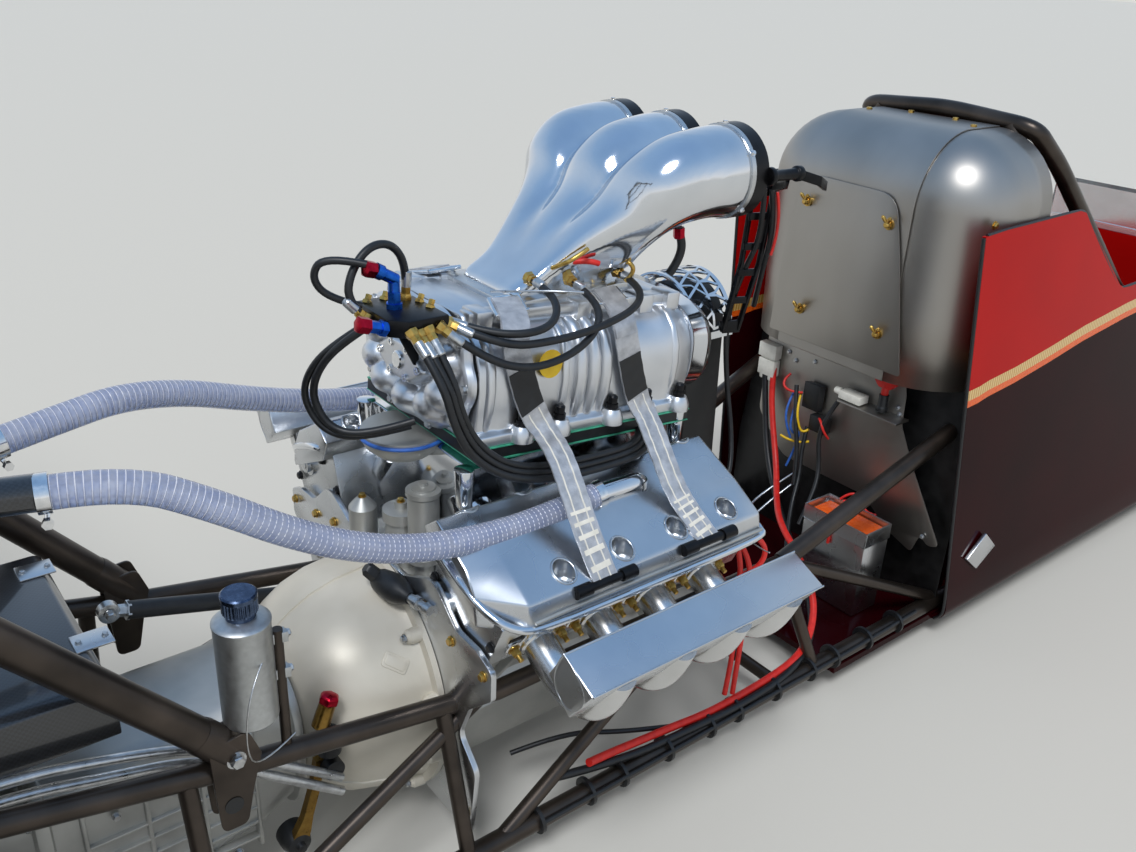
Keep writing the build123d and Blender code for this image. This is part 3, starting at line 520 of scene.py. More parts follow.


# %% [markdown]
# Clear breather hoses
#
# Two clear ribbed hoses carry oil mist from the valve covers back to the catch tank. They hang
# free between a clamp on the carbon tube and a clamp on the cover, so each runs along a given
# route with its sag, and its length is printed.

# %% Breather hoses
HOSE_WIDTH = 44.0
HOSE_ROUTES = {
    "breather_hose_right": [
        (-540, -197, 892), (-450, -218, 893), (-355, -248, 842), (-265, -262, 778),
        (-170, -262, 722), (-70, -260, 684), (40, -260, 664), (160, -260, 660), (282, -260, 671)],
    "breather_hose_left": [
        (-540, 100, 838), (-450, 110, 850), (-360, 130, 856), (-255, 155, 832),
        (-150, 185, 786), (-40, 215, 744), (70, 240, 712), (180, 255, 688), (282, 260, 671)],
}


def run_length(route):
    """The smooth line that a route steers, as points, and its length in metres."""
    curve = bpy.data.curves.new("measured", "CURVE")
    curve.dimensions = "3D"
    steer(curve, route)
    probe = bpy.data.objects.new("measured", curve)
    mesh = bpy.data.meshes.new_from_object(probe)
    line = [vertex.co.copy() for vertex in mesh.vertices]
    bpy.data.objects.remove(probe)
    return line, sum((b - a).length for a, b in zip(line, line[1:]))


for name, route in HOSE_ROUTES.items():
    hose = place_lines(name, [route], HOSE_WIDTH / 2, "clear_hose", steps=8)
    line, length = run_length(route)
    print(name, "is", round(length, 3), "m long")


# %% Ribs and clamps of the hoses
RIB_STEP, RIB_R, RIB_THICK = 9.0, 20.5, 1.7


def add_ring(shape, middle, along, radius, thick, steps=20):
    """A ring of round section about a line; sizes in mm."""
    side, up = square_to(along)
    rings = []
    for k in range(steps + 1):
        angle = 2 * math.pi * k / steps
        out = side * math.cos(angle) + up * math.sin(angle)
        rings.append([middle + out * (radius + thick * math.cos(t)) * MM
                      + along * thick * math.sin(t) * MM
                      for t in (0, 1.05, 2.09, 3.14, 4.19, 5.24)])
    skin(shape, rings, ends=False)


def hose_ribs(name, route):
    """The helix inside the hose wall, as rings one step apart."""
    line = run_length(route)[0]
    shape = bmesh.new()
    carried = 0.0
    for a, b in zip(line, line[1:]):
        step = (b - a).length
        while carried < step:
            add_ring(shape, a.lerp(b, carried / step), (b - a).normalized(), RIB_R,
                     RIB_THICK)
            carried += RIB_STEP * MM
        carried -= step
    place_piece(name, shape, "rib_vinyl")


def hose_clamp(shape, place, towards, radius, width=16):
    """A band clamp round a hose, with its T bolt."""
    along = (at(*towards) - at(*place)).normalized()
    middle = at(*place)
    turn(shape, middle, along, [
        (-width / 2, radius - 2), (-width / 2, radius + 1.5), (width / 2, radius + 1.5),
        (width / 2, radius - 2)], 32)
    side, up = square_to(along)
    top = middle + up * (radius + 8) * MM
    turn(shape, top - side * 16 * MM, side, [(0, 3.5), (32, 3.5)], 10)
    turn(shape, top + side * 14 * MM, side, [(0, 7), (9, 7)], 6)
    turn(shape, top - side * 18 * MM, side, [(0, 6), (5, 6)], 12)


for name, route in HOSE_ROUTES.items():
    hose_ribs(name.replace("hose", "ribs"), route)
clamps = bmesh.new()
for route in HOSE_ROUTES.values():
    for end, beside in ((0, 1), (-1, -2)):
        hose_clamp(clamps, route[end], route[beside], 24)
place_piece("hose_clamps", clamps, "chrome")

# %% [markdown]
# Injector hat
#
# The hat is one polished casting: a narrow rectangular foot that fans out and bends forward into
# three round throats. Each throat is a loft from a third of the foot to a circle. A voxel remesh
# melts the three into one skin, and a few rounds of smoothing give the soft creases between
# them.

# %% Injector hat
THROAT_PITCH = 151.0
HAT_VOXEL = 5.3
# rear point (s, z), front point (s, z), offset of the outer throats, half width, squareness
HAT_SECTIONS = [
    (224, 965, 438, 965, 57, 29, 6.0),
    (228, 990, 440, 990, 57, 29, 5.0),
    (280, 1019, 455, 995, 62, 34, 4.0),
    (344, 1079, 462, 1004, 80, 46, 3.0),
    (402, 1132, 468, 1042, 105, 61, 2.5),
    (434, 1190, 500, 1077, 130, 73, 2.2),
    (492, 1234, 560, 1090, 146, 79, 2.0),
    (575, 1249, 596, 1090, 151, 80, 2.0),
    (622, 1250, 622, 1090, 151, 80, 2.0),
]


def refine(rows, parts=4):
    """Rows of numbers with smooth rows in between."""
    fine = []
    for k in range(len(rows) - 1):
        four = rows[max(k - 1, 0)], rows[k], rows[k + 1], rows[min(k + 2, len(rows) - 1)]
        for part in range(parts):
            t = part / parts
            fine.append([(2 * b + (c - a) * t + (2 * a - 5 * b + 4 * c - d) * t ** 2
                          + (3 * b - a - 3 * c + d) * t ** 3) / 2 for a, b, c, d in zip(*four)])
    return fine + [list(rows[-1])]


def throat_ring(row, side, count=36):
    """Section of one throat of the hat; side is -1, 0 or 1."""
    rear_s, rear_z, front_s, front_z, offset, half_wide, square = row
    middle = at((rear_s + front_s) / 2, side * offset, (rear_z + front_z) / 2)
    reach = (at(rear_s, 0, rear_z) - at(front_s, 0, front_z)) / 2
    ring = []
    for angle in circle_angles(count):
        long, wide = squarish(angle, 2 / square)
        ring.append(middle + reach * long + LEFT * half_wide * MM * wide)
    return ring


def root_ring(row, share):
    """Section that fills the creases near the foot and sinks into them higher up."""
    rear_s, rear_z, front_s, front_z, offset, half_wide = row[:6]
    keep = 1 - 0.19 * max(0, share * 1.9 - 0.9) ** 2
    return throat_ring([
        rear_s * keep + front_s * (1 - keep), rear_z * keep + front_z * (1 - keep),
        front_s * keep + rear_s * (1 - keep), front_z * keep + rear_z * (1 - keep),
        0, offset + half_wide, 5.0], 0, 72)


def make_hat():
    """Three throats and their common root, remeshed into one polished skin."""
    shape = bmesh.new()
    rows = refine(HAT_SECTIONS)
    for side in (-1, 0, 1):
        skin(shape, [throat_ring(row, side) for row in rows])
    skin(shape, [root_ring(row, k / 17) for k, row in enumerate(rows[:18])])
    hat = mesh_object("injector_hat_skin", shape)
    modify(hat, "REMESH", mode="VOXEL", voxel_size=HAT_VOXEL * MM)
    modify(hat, "SMOOTH", factor=0.6, iterations=14)
    modify(hat, "SUBSURF", levels=1)
    apply_modifiers(hat)
    hat.data.shade_smooth()
    print("hat faces:", len(hat.data.polygons))
    dress(hat, "polished_cast", ["injector_hat"], "root")


make_hat()

# %% Foot plate, mouth rings and collar lines
foot = bmesh.new()
brick(foot, (202, 462), (-105, 105), (962, 980))
place_piece("hat_foot_plate", foot, "machined_aluminium", bevel=3)
place_bolts("hat_foot_bolts", [(s, y, 980) for s in (214, 290, 372, 450) for y in (-95, 95)],
            UP, 13, "steel")

rings, lips, studs = bmesh.new(), bmesh.new(), bmesh.new()
for side in (-1, 0, 1):
    mouth = at(618, side * THROAT_PITCH, 1170)
    turn(rings, mouth, FORWARD, [
        (4, 62), (4, 83), (34, 83), (38, 80), (38, 72), (34, 70), (10, 68), (10, 62)], 48)
    turn(lips, mouth, FORWARD, [(-6, 78), (-6, 82.5), (4, 82.5), (4, 78)], 48)
    turn(lips, mouth, FORWARD, [(12, 60), (12, 69), (14, 69), (14, 60)], 48)
    for angle in (0.5, 1.57, 2.6, 3.9, 5.3):
        out = Vector((0, math.cos(angle), math.sin(angle)))
        add_bolt(studs, mouth + out * 82 * MM, out, 8)
place_piece("throttle_mouth_rings", rings, "black_anodised", ["throttle_rings"])
place_piece("hat_collar_lips", lips, "machined_aluminium")
place_piece("hat_collar_screws", studs, "chrome")

# %% [markdown]
# Supercharger
#
# The blower case is a polished casting about half a metre long, tilted nose down. Its side wall
# bulges, carries rounded ribs and ends in a flange with bosses. The section is one ring of
# points, lofted along the case, and each rib is a half-round bar that follows the same ring.

# %% Blower case
BLOWER = Matrix.Translation(at(90, 0, 775)) @ Matrix.Rotation(math.radians(4.5), 4, "Y")
CASE_L = 470.0
CASE_SIDE = [
    (-183, 0), (-183, 18), (-170, 24), (-174, 60), (-176, 95), (-172, 128), (-160, 156),
    (-140, 176), (-118, 186), (-112, 200), (-104, 205)]


def on_blower(u, y, w):
    """A place in mm along, across and up from the blower's rear foot, in metres."""
    return BLOWER @ Vector((u * MM, y * MM, w * MM))


def blower_brick(shape, u_ends, y_ends, w_ends):
    """A plain block in the blower's own directions."""
    (u0, u1), (y0, y1) = u_ends, y_ends
    skin(shape, [[on_blower(u, y, w) for u, y in ((u0, y0), (u1, y0), (u1, y1), (u0, y1))]
                 for w in w_ends])


def case_ring(u, grow=0.0):
    """Section of the case, grown outwards by some mm above its flange."""
    half = [(y - (grow if z > 20 else 0), z + (grow * 0.7 if z > 130 else 0))
            for y, z in CASE_SIDE]
    return [on_blower(u, y, z) for y, z in half + [(-y, z) for y, z in reversed(half)]]


case = bmesh.new()
skin(case, [case_ring(u, grow) for u, grow in (
    (0, -10), (0, -2), (4, 0), (36, 0), (44, 4), (70, 4), (78, 0), (392, 0), (400, 5),
    (440, 5), (448, 0), (466, 0), (CASE_L, -3), (CASE_L, -10))])
place_piece("blower_case_cast", case, "buffed_cast", ["blower_case"], bevel=2.5, sharp=40)

# %% Ribs, bosses and gaskets of the blower
RIB_PATH = [(-166, 22), (-174, 60), (-176, 95), (-172, 128), (-160, 156), (-140, 176), (-120, 184)]


def add_rib(shape, u, width, side):
    """A half-round rib up the case wall at u."""
    rings = []
    for k, (y, z) in enumerate(RIB_PATH):
        swell = 0.75 if k in (0, len(RIB_PATH) - 1) else 1.0
        out = Vector((0, -1, 0.2 if z < 130 else 0.9)).normalized()
        ring = []
        for a in range(9):
            angle = math.pi * a / 8
            place = Vector((u + width * math.cos(angle) * swell, y, z))
            place += out * width * 0.95 * math.sin(angle) * swell
            ring.append(on_blower(place.x, -side * place.y, place.z))
        rings.append(ring)
    skin(shape, rings)


ribs = bmesh.new()
for side in (-1, 1):
    for u, width in ((22, 9), (172, 8), (205, 13), (235, 13), (262, 12), (425, 10)):
        add_rib(ribs, u, width, side)
place_piece("blower_ribs", ribs, "buffed_cast")

bosses, boss_nuts = bmesh.new(), bmesh.new()
upward = (BLOWER.to_3x3() @ UP).normalized()
for side in (-1, 1):
    for u in (88, 166, 284, 366, 448):
        foot = on_blower(u, side * 180, 2)
        turn(bosses, foot, upward, [(0, 22), (12, 22), (22, 18), (27, 15)], 24)
        turn(boss_nuts, foot, upward, [(27, 11), (36, 11)], 12)
        turn(boss_nuts, foot, upward, [(36, 8.5), (48, 8.5), (51, 6)], 12)
place_piece("blower_bosses", bosses, "buffed_cast")
place_piece("blower_boss_nuts", boss_nuts, "black_anodised")

for name, low, high, finish, grow in (
        ("gasket_upper", -2, 0, "green", 2), ("burst_panel_frame", -22, -2, "black", -1),
        ("gasket_lower", -24, -22, "green", 2)):
    sheet = bmesh.new()
    blower_brick(sheet, (-2, CASE_L + 8), (-183 - grow, 183 + grow), (low, high))
    place_piece(name, sheet, finish)
top_rail = bmesh.new()
for side in (-1, 1):
    blower_brick(top_rail, (6, 466), (side * 92, side * 122), (192, 210))
    for u in (30, 100, 235, 380, 445):
        blower_brick(top_rail, (u - 16, u + 16), (side * 86, side * 134), (180, 214))
place_piece("blower_top_rails", top_rail, "buffed_cast", bevel=4)

# %% [markdown]
# Covers of the blower
#
# The rear cover spans the bearings of both rotors, so it is wider than tall. It swells in a ring
# of rounded lumps between its bolts, with a flat pad in the middle. It is a polar grid whose
# height at each point is worked out from the pad and the lumps. The front cover is a deep
# rounded drum behind the belt.

# %% Blower covers
COVER_WIDE, COVER_TALL, COVER_MIDDLE, LUMPS = 172.0, 106.0, 100, 10
LUMP_R = 31


def cover_point(share, angle):
    """Place on the rear cover, as a share of the way out to its scalloped edge."""
    across, up = squarish(angle, 0.8)
    edge = share * (1 + 0.03 * math.cos(LUMPS * angle) * share)
    return across * COVER_WIDE * edge, up * COVER_TALL * edge


def cover_height(y, z, share):
    """How far the rear cover stands out, in mm."""
    pad = 40 if abs(y) / 84 + abs(z) / 62 < 1 and abs(z) < 34 else 0
    rise = 14 if share < 0.97 else 4
    for angle in circle_angles(LUMPS, 0.5):
        lump_y, lump_z = cover_point(0.66, angle)
        away = math.hypot((y - lump_y) * 0.85, z - lump_z)
        if away < LUMP_R:
            rise = max(rise, 14 + 32 * math.sqrt(1 - (away / LUMP_R) ** 2))
    return max(pad, rise)


def make_rear_cover():
    """Polar grid of the rear cover, softened into a casting."""
    shape = bmesh.new()
    rows = 48
    grid = []
    for i in range(rows + 2):
        share = min(i, rows) / rows
        ring = []
        for angle in circle_angles(156):
            y, z = cover_point(share, angle)
            out = -6 if i > rows else cover_height(y, z, share)
            ring.append(on_blower(-6 - out, y, COVER_MIDDLE + z))
        grid.append(ring)
    skin(shape, grid, ends=False)
    cover = place_piece("blower_rear_cover", shape, "buffed_cast", ["blower_covers"])
    modify(cover, "SMOOTH", factor=0.5, iterations=9)
    apply_modifiers(cover)
    cover.data.shade_smooth()


make_rear_cover()
back_bolts, pad_bolts = bmesh.new(), bmesh.new()
rearward = (BLOWER.to_3x3() @ -FORWARD).normalized()
for angle in circle_angles(LUMPS):
    y, z = cover_point(0.92, angle)
    add_bolt(back_bolts, on_blower(-18, y, COVER_MIDDLE + z), rearward, 12)
for y, z in ((-62, 0), (-26, 24), (26, 24), (62, 0), (26, -24), (-26, -24)):
    turn(pad_bolts, on_blower(-45, y, COVER_MIDDLE + z), rearward,
         [(0, 7), (4, 7), (4, 3.5), (1, 3.5)], 16)
turn(pad_bolts, on_blower(-44, 0, COVER_MIDDLE), rearward, [(0, 16), (5, 16), (7, 13), (7, 0)], 32)
place_piece("blower_cover_bolts", back_bolts, "steel")
place_piece("blower_pad_screws", pad_bolts, "chrome")

front = bmesh.new()
rings = []
for u, shrink in ((CASE_L, 0), (CASE_L + 6, 3), (CASE_L + 40, 3), (CASE_L + 58, 10),
                  (CASE_L + 72, 28), (CASE_L + 80, 58), (CASE_L + 82, 90)):
    ring = []
    for wide, tall in (squarish(angle, 0.72) for angle in circle_angles(48)):
        ring.append(on_blower(u, wide * (178 - shrink),
                              COVER_MIDDLE + tall * (101 - shrink * 0.85)))
    rings.append(ring)
skin(front, rings)
turn(front, on_blower(CASE_L + 78, 0, 90), -rearward, [(0, 82), (26, 80), (34, 70), (36, 40)], 48)
place_piece("blower_front_cover", front, "polished_cast")
disc = bmesh.new()
turn(disc, on_blower(138, -176, 128), Vector((0, -1, 0.1)), [(0, 24), (1.4, 24), (1.6, 22)], 40)
place_piece("plain_round_sticker", disc, "yellow")

# %% [markdown]
# Valve covers
#
# Each cover is folded and welded from thick aluminium sheet: a long five-sided section with its
# rear corner cut off, and a pocket bored down through the wall for every bolt. The pockets are
# upright cylinders taken away with a boolean, which gives the teardrop that a bored slope has.

# %% Valve covers
COVER_WALL = [(-392, 566), (-384, 604), (-318, 643), (-212, 691), (-176, 664)]
COVER_SEAT = -178
POCKETS = [(s, -356, 592, 20) for s in (141, 263, 385, 507)]
POCKETS += [(s, -200, 664, 18) for s in (60, 166, 288, 410, 530)]


def cover_ring(s, flip, inward):
    """Section of a cover, with its outer wall moved inwards by some mm."""
    wall = [at(s, flip * (y + inward * share), z)
            for (y, z), share in zip(COVER_WALL, (1, 1, 0.35, 0, 0))]
    return wall + [at(s, flip * -196, 620), at(s, flip * (-388 + inward), 554)]


def slope_height(y):
    """Height of the cover's upper wall at a distance from the middle."""
    for (y0, z0), (y1, z1) in zip(COVER_WALL[1:], COVER_WALL[2:]):
        if y0 <= y <= y1:
            return z0 + (z1 - z0) * (y - y0) / (y1 - y0)
    return COVER_WALL[1][1] if y < COVER_WALL[1][0] else COVER_WALL[-1][1]


def make_valve_cover(flip, side):
    """One cover with its bolt pockets bored out."""
    shape = bmesh.new()
    skin(shape, [cover_ring(s, flip, inward) for s, inward in (
        (-6, 62), (-2, 60), (52, 2), (60, 0), (566, 0), (572, 5))])
    cover = place_piece("valve_cover_" + side, shape, "brushed_aluminium",
                        ["valve_covers"], bevel=3.5)
    tools = bmesh.new()
    for s, y, z, radius in POCKETS:
        turn(tools, at(s, flip * y, z), UP, [(0, radius - 4), (4, radius), (140, radius)], 28)
    bmesh.ops.recalc_face_normals(tools, faces=tools.faces)
    tool = mesh_object("pocket_tool", tools)
    modify(cover, "BOOLEAN", object=tool, operation="DIFFERENCE", solver="EXACT")
    apply_modifiers(cover)
    bpy.data.objects.remove(tool)
    cover.data.shade_smooth()
    cover.data.set_sharp_from_angle(angle=math.radians(30))


for flip, side in SIDES:
    make_valve_cover(flip, side)
    place_bolts("cover_bolts_" + side, [(s, flip * y, z) for s, y, z, radius in POCKETS],
                UP, 11, "steel", height=10)
    beads = []
    for s, y, z, radius in POCKETS:
        circle = [(s + radius * math.cos(a), y + radius * math.sin(a)) for a in circle_angles(24)]
        beads.append([(a, flip * b, slope_height(b) + 0.5)
                      for a, b in circle + circle[:1] if b < COVER_SEAT])
    place_lines("pocket_weld_beads_" + side, beads, 2.2, "machined_aluminium")

# %% Cover rims, weld beads and breather stubs
RIM = [(560, -196, 640), (0, -190, 640), (-10, -230, 640), (-8, -300, 610), (6, -352, 582),
       (34, -386, 566), (80, -396, 560), (330, -396, 560), (574, -396, 560), (582, -380, 566),
       (580, -300, 610), (576, -200, 650)]
BEAD = [(60, -394, 568), (200, -393, 570), (390, -393, 568), (568, -394, 570)]
for flip, side in SIDES:
    place_lines("cover_rim_" + side, [[(s, flip * y, z) for s, y, z in RIM]], 7,
                "polished_cast")
    place_lines("cover_weld_bead_" + side, [[(s, flip * (y + 1), z + 6) for s, y, z in BEAD]], 3.5,
                "sand_cast_alloy")
    stub = bmesh.new()
    turn(stub, at(262, flip * 260, 670), Vector((1, 0, -0.03)),
         [(0, 17), (0, 21), (104, 21), (120, 18), (132, 8), (132, 0)], 32)
    turn(stub, at(372, flip * 260, 676), Vector((0.05, 0, -1)), [(0, 20), (36, 20), (46, 26)], 32)
    place_piece("breather_stub_" + side, stub, "polished_cast")

# %% [markdown]
# Heads, headers and sheet covers
#
# Under each cover the machined head shows its bolted flanges. Four steel pipes leave it, turn
# down in a U and end inside a folded sheet cover, so that nothing falls into them in the pits.
# Gold-plated nuts hold the flanges.

# %% Header pipes
PORTS = [100 + 122 * k for k in range(4)]
PIPE_PATH = [(-336, 506), (-390, 476), (-432, 460), (-466, 460), (-500, 478), (-528, 518),
             (-543, 560)]
for flip, side in SIDES:
    place_lines("header_pipes_" + side,
                [[(s, flip * y, z) for y, z in PIPE_PATH] for s in PORTS], 29, "steel_pipe",
                ["header_pipes"], steps=10)
    flanges, nuts = bmesh.new(), bmesh.new()
    out = Vector((0, flip * -0.916, -0.40))
    for s in PORTS:
        foot, face = at(s, flip * -338, 505), at(s, flip * -347, 501)
        turn(flanges, foot, out, [(0, 40), (10, 40), (11, 38), (11, 30)], 36)
        turn(flanges, face, out, [(0, 34), (5, 33), (8, 30)], 36)
        for aside in (-46 * MM * FORWARD, 46 * MM * FORWARD):
            turn(flanges, foot + aside, out, [(0, 15), (9, 15), (10, 13)], 20)
            add_bolt(nuts, face + aside, out, 15, 14)
            turn(nuts, face + aside, out, [(0, 4.5), (24, 4.5), (25, 3)], 12)
    place_piece("header_flanges_" + side, flanges, "steel_pipe")
    place_piece("header_nuts_" + side, nuts, "brass")
    ledge = bmesh.new()
    slab(ledge, [(flip * y, z) for y, z in (
        (-330, 540), (-356, 528), (-352, 518), (-328, 528))], (40, 528), "s")
    place_piece("header_ledge_" + side, ledge, "black_anodised", bevel=2)

# %% Sheet covers over the pipe ends
SHEET_SECTION = [(-514, 611), (-582, 580), (-533, 511), (-481, 557)]
SHEET_Y, SHEET_Z = -527, 565
for flip, side in SIDES:
    box = bmesh.new()
    skin(box, [[at(s, flip * (SHEET_Y + (y - SHEET_Y) * shrink),
                   SHEET_Z + (z - SHEET_Z) * shrink) for y, z in SHEET_SECTION]
               for s, shrink in ((19, 0.72), (19, 0.97), (22, 1.0), (508, 1.0), (511, 0.97),
                                 (511, 0.72))])
    place_piece("pipe_end_cover_" + side, box, "brushed_aluminium", ["header_covers"], bevel=1.2)
    seam = [[(20, flip * y, z) for y, z in SHEET_SECTION + SHEET_SECTION[:1]]]
    for y, z in SHEET_SECTION[:2]:
        seam.append([(20, flip * y, z), (200, flip * y, z), (510, flip * y, z)])
    place_lines("cover_seams_" + side, seam, 1.6, "brushed_aluminium")

# %% [markdown]
# Blower straps
#
# Two reflective straps on each side hold the blower down if it backfires. A strap is a flat
# ribbon that follows a smooth line, 50 mm wide and 3 mm thick, with two stitched seams, a plain
# dark patch and a loop at its end round a black bar.

# %% Straps
STRAPS = {
    "rear": ([(196, -100, 986), (182, -150, 976), (157, -184, 950), (168, -186, 895),
              (190, -187, 828), (212, -196, 785), (204, -250, 768), (197, -300, 720),
              (197, -345, 655), (203, -388, 596)], (0.30, 0.46)),
    "front": ([(404, -100, 972), (398, -150, 960), (388, -184, 930), (406, -187, 850),
               (428, -188, 785), (438, -210, 752), (420, -262, 722), (416, -310, 668),
               (424, -350, 628), (434, -390, 596)], (0.27, 0.42)),
}


def ribbon(shape, line, flip, half_width, thick, lift, aside=0, first=0):
    """A flat band along a line of points, moved aside and lifted off it by some mm."""
    rings = []
    for k, place in enumerate(line):
        along = line[min(k + 1, len(line) - 1)] - line[max(k - 1, 0)]
        across = (FORWARD - along * FORWARD.dot(along) / along.length_squared).normalized()
        out = along.cross(across).normalized() * flip
        ring = []
        for share, level in ((-1, 0), (-0.5, 0), (0, 0), (0.5, 0), (1, 0),
                             (1, 1), (0.5, 1), (0, 1), (-0.5, 1), (-1, 1)):
            place_across = aside + half_width * share
            wave = 0.5 * math.sin((k + first) * 1.1 + place_across * 0.09)
            ring.append(place + across * place_across * MM
                        + out * (lift + thick * level + wave) * MM)
        rings.append(ring)
    skin(shape, rings)


def smooth_out(line, flip):
    """The line's points on one side of the car."""
    return [Vector((p.x, p.y * flip, p.z)) for p in line]


for flip, side in SIDES:
    web, seams, patches, bars = bmesh.new(), bmesh.new(), bmesh.new(), bmesh.new()
    buckles = bmesh.new()
    for route, (first, last) in STRAPS.values():
        line = smooth_out(run_length(route)[0], flip)
        count = len(line)
        ribbon(web, line, flip, 25, 3, 1)
        ribbon(web, line[:int(0.22 * count)], flip, 24, 2.5, 4)
        low, high = int(first * count), int(last * count)
        ribbon(patches, line[low:high], flip, 24, 1.4, 4, 0, low)
        for aside in (-11, 11):
            ribbon(seams, line[high:], flip, 1.2, 0.9, 4, aside, high)
        for k in range(int(0.86 * count), count - 2, 3):
            ribbon(seams, line[k:k + 2], flip, 20, 0.9, 4, 0, k)
        top, below = line[2], line[5]
        loop_up = (top - below).normalized()
        for end in (-1, 1):
            start = top + FORWARD * end * 29 * MM - loop_up * 26 * MM
            turn(buckles, start, loop_up, [(0, 4), (52, 4)], 14)
            turn(buckles, top - FORWARD * 33 * MM + loop_up * end * 24 * MM, FORWARD,
                 [(0, 4), (66, 4)], 14)
        s, y, z = route[-1]
        turn(bars, at(s - 62, flip * y, z), FORWARD, [
            (0, 11), (30, 11), (30, 8), (94, 8), (94, 11), (124, 11)], 20)
    place_piece("blower_webbing_" + side, web, "strap_web", sharp=60)
    place_piece("strap_patches_" + side, patches, "black", sharp=60)
    place_piece("strap_seams_" + side, seams, "white", sharp=60)
    place_piece("strap_buckles_" + side, buckles, "chrome")
    place_piece("strap_bars_" + side, bars, "black_anodised")

# %% [markdown]
# Painted body sides
#
# Each side is a carbon panel in candy red above and maroon below, with two stripes between them
# and a round sill. Paint edges are sharp, so they are mesh edges: the rows of the panel follow
# the stripes, and each band of faces gets its own paint.

# %% Body side panels
BODY_REAR, BODY_LONG = 1250, 1300
SILL_TOP, SILL_R = 95, 45
STRIPE = [(1250, 640), (1298, 647), (1419, 654), (1585, 670), (1761, 690), (2001, 706),
          (2300, 716), (2550, 720)]
TOP_EDGE = [(1200, 1022), (1300, 1026), (1640, 1026), (1672, 1018), (1700, 992), (1935, 806),
            (1962, 793), (2000, 790), (2550, 786)]


def between(table, s):
    """Value at s on a line of (s, value) points."""
    for (s0, v0), (s1, v1) in zip(table, table[1:]):
        if s <= s1:
            return v0 + (v1 - v0) * max(0, min(1, (s - s0) / (s1 - s0)))
    return table[-1][1]


def side_width(s, z):
    """Half width of the body at a station and height; it narrows forwards and upwards."""
    share = (s - BODY_REAR) / BODY_LONG
    low, high = 388 - 8 * share, 340 - 55 * share
    top = 1020 - 220 * share
    width = low + (high - low) * max(0, (z - SILL_TOP) / (top - SILL_TOP))
    if z < SILL_TOP:
        drop = (SILL_TOP - z) / SILL_R
        width -= SILL_R * (1 - math.sqrt(max(0, 1 - drop * drop)))
    return width


def rear_edge(z):
    """Station of the slanted rear edge at a height."""
    return 1334 - z * 0.119


def side_rows(s):
    """Heights of the panel's rows from sill to top edge."""
    stripe = between(STRIPE, s)
    rows = [50.5 + 44.5 * (1 - math.cos(math.pi / 2 * k / 6)) for k in range(7)]
    rows += [SILL_TOP + (stripe - SILL_TOP) * k / 8 for k in range(1, 9)]
    rows += [stripe + 16, stripe + 40]
    top = between(TOP_EDGE, s)
    rows += [stripe + 40 + (top - stripe - 40) * k / 6 for k in range(1, 7)]
    return rows


SIDE_STATIONS = [1215, 1222, 1260, 1300, 1360, 1420, 1500, 1580, 1640, 1672, 1700, 1760, 1820,
                 1880, 1935, 1962, 2000, 2100, 2200, 2320, 2440, 2549]


def make_side(flip, side):
    """One painted side, 9 mm thick."""
    shape = bmesh.new()
    rings = []
    for s in SIDE_STATIONS:
        ring = []
        for z in side_rows(s):
            share = (s - SIDE_STATIONS[0]) / (SIDE_STATIONS[-1] - SIDE_STATIONS[0])
            place = rear_edge(z) + (SIDE_STATIONS[-1] - rear_edge(z)) * share
            ring.append(at(place, -flip * side_width(place, z), z))
        rings.append(ring)
    skin(shape, rings, ends=False, around=False)
    panel = place_piece("body_side_" + side, shape, "maroon_gloss", ["cockpit_sides"], sharp=50)
    for paint in ("orange", "gold_stripe", "red_gloss"):
        panel.data.materials.append(finish_of(paint))
    bands = [0] * 14 + [1, 2] + [3] * 6
    for face in panel.data.polygons:
        face.material_index = bands[face.index % len(bands)]
    modify(panel, "SOLIDIFY", thickness=9 * MM, offset=-1)
    apply_modifiers(panel)
    panel.data.shade_smooth()
    panel.data.set_sharp_from_angle(angle=math.radians(50))
    edge = [(rear_edge(z) - 2, -flip * (side_width(rear_edge(z), z) - 4), z)
            for z in (56, 70, 95, 200, 400, 600, 800, 960, 1010, 1020)]
    along_top = [(s, -flip * (side_width(s, between(TOP_EDGE, s)) - 4), between(TOP_EDGE, s))
                 for s in (1222, 1300, 1500, 1640, 1672, 1700, 1935, 1962, 2000, 2300, 2549)]
    place_lines("side_edge_trim_" + side, [edge, along_top], 4, "black")


for flip, side in SIDES:
    make_side(flip, side)
plate = bmesh.new()
slab(plate, ((1428, 278), (1486, 226), (1418, 182), (1362, 228)), (-381, -390), "y")
place_piece("jack_pad_plate", plate, "brushed_aluminium", bevel=1.5)

# %% [markdown]
# Head surround
#
# The driver's head sits in a titanium shell: upright walls with round corners and a domed top.
# Its plan is a U, and each ring of the dome is the same U moved inwards, so one list of rings
# makes wall and dome together. A separate rolled sheet wraps over the middle, with a visible
# edge, and screws hold it.

# %% Head shell
SHELL_R = 160.0
SHELL_TOP = 1196.0
SHELL_REAR = 1226.0
SHELL_FRONT = 1500.0
SHELL_HALF = 318.0


def shell_ring(inset, z, taper):
    """The U-shaped plan of the shell, moved inwards by inset mm."""
    core = SHELL_HALF - SHELL_R - taper
    radius = SHELL_R - inset
    ring = [(s, -core - radius) for s in (SHELL_FRONT, SHELL_FRONT - 60)]
    for k in range(13):
        angle = math.pi / 2 * k / 12
        ring.append((SHELL_REAR + SHELL_R - radius * math.sin(angle),
                     -core - radius * math.cos(angle)))
    ring += [(SHELL_REAR + inset, -core * 0.5)]
    ring += [(s, -y) for s, y in reversed(ring)]
    return [at(s, y, z) for s, y in ring]


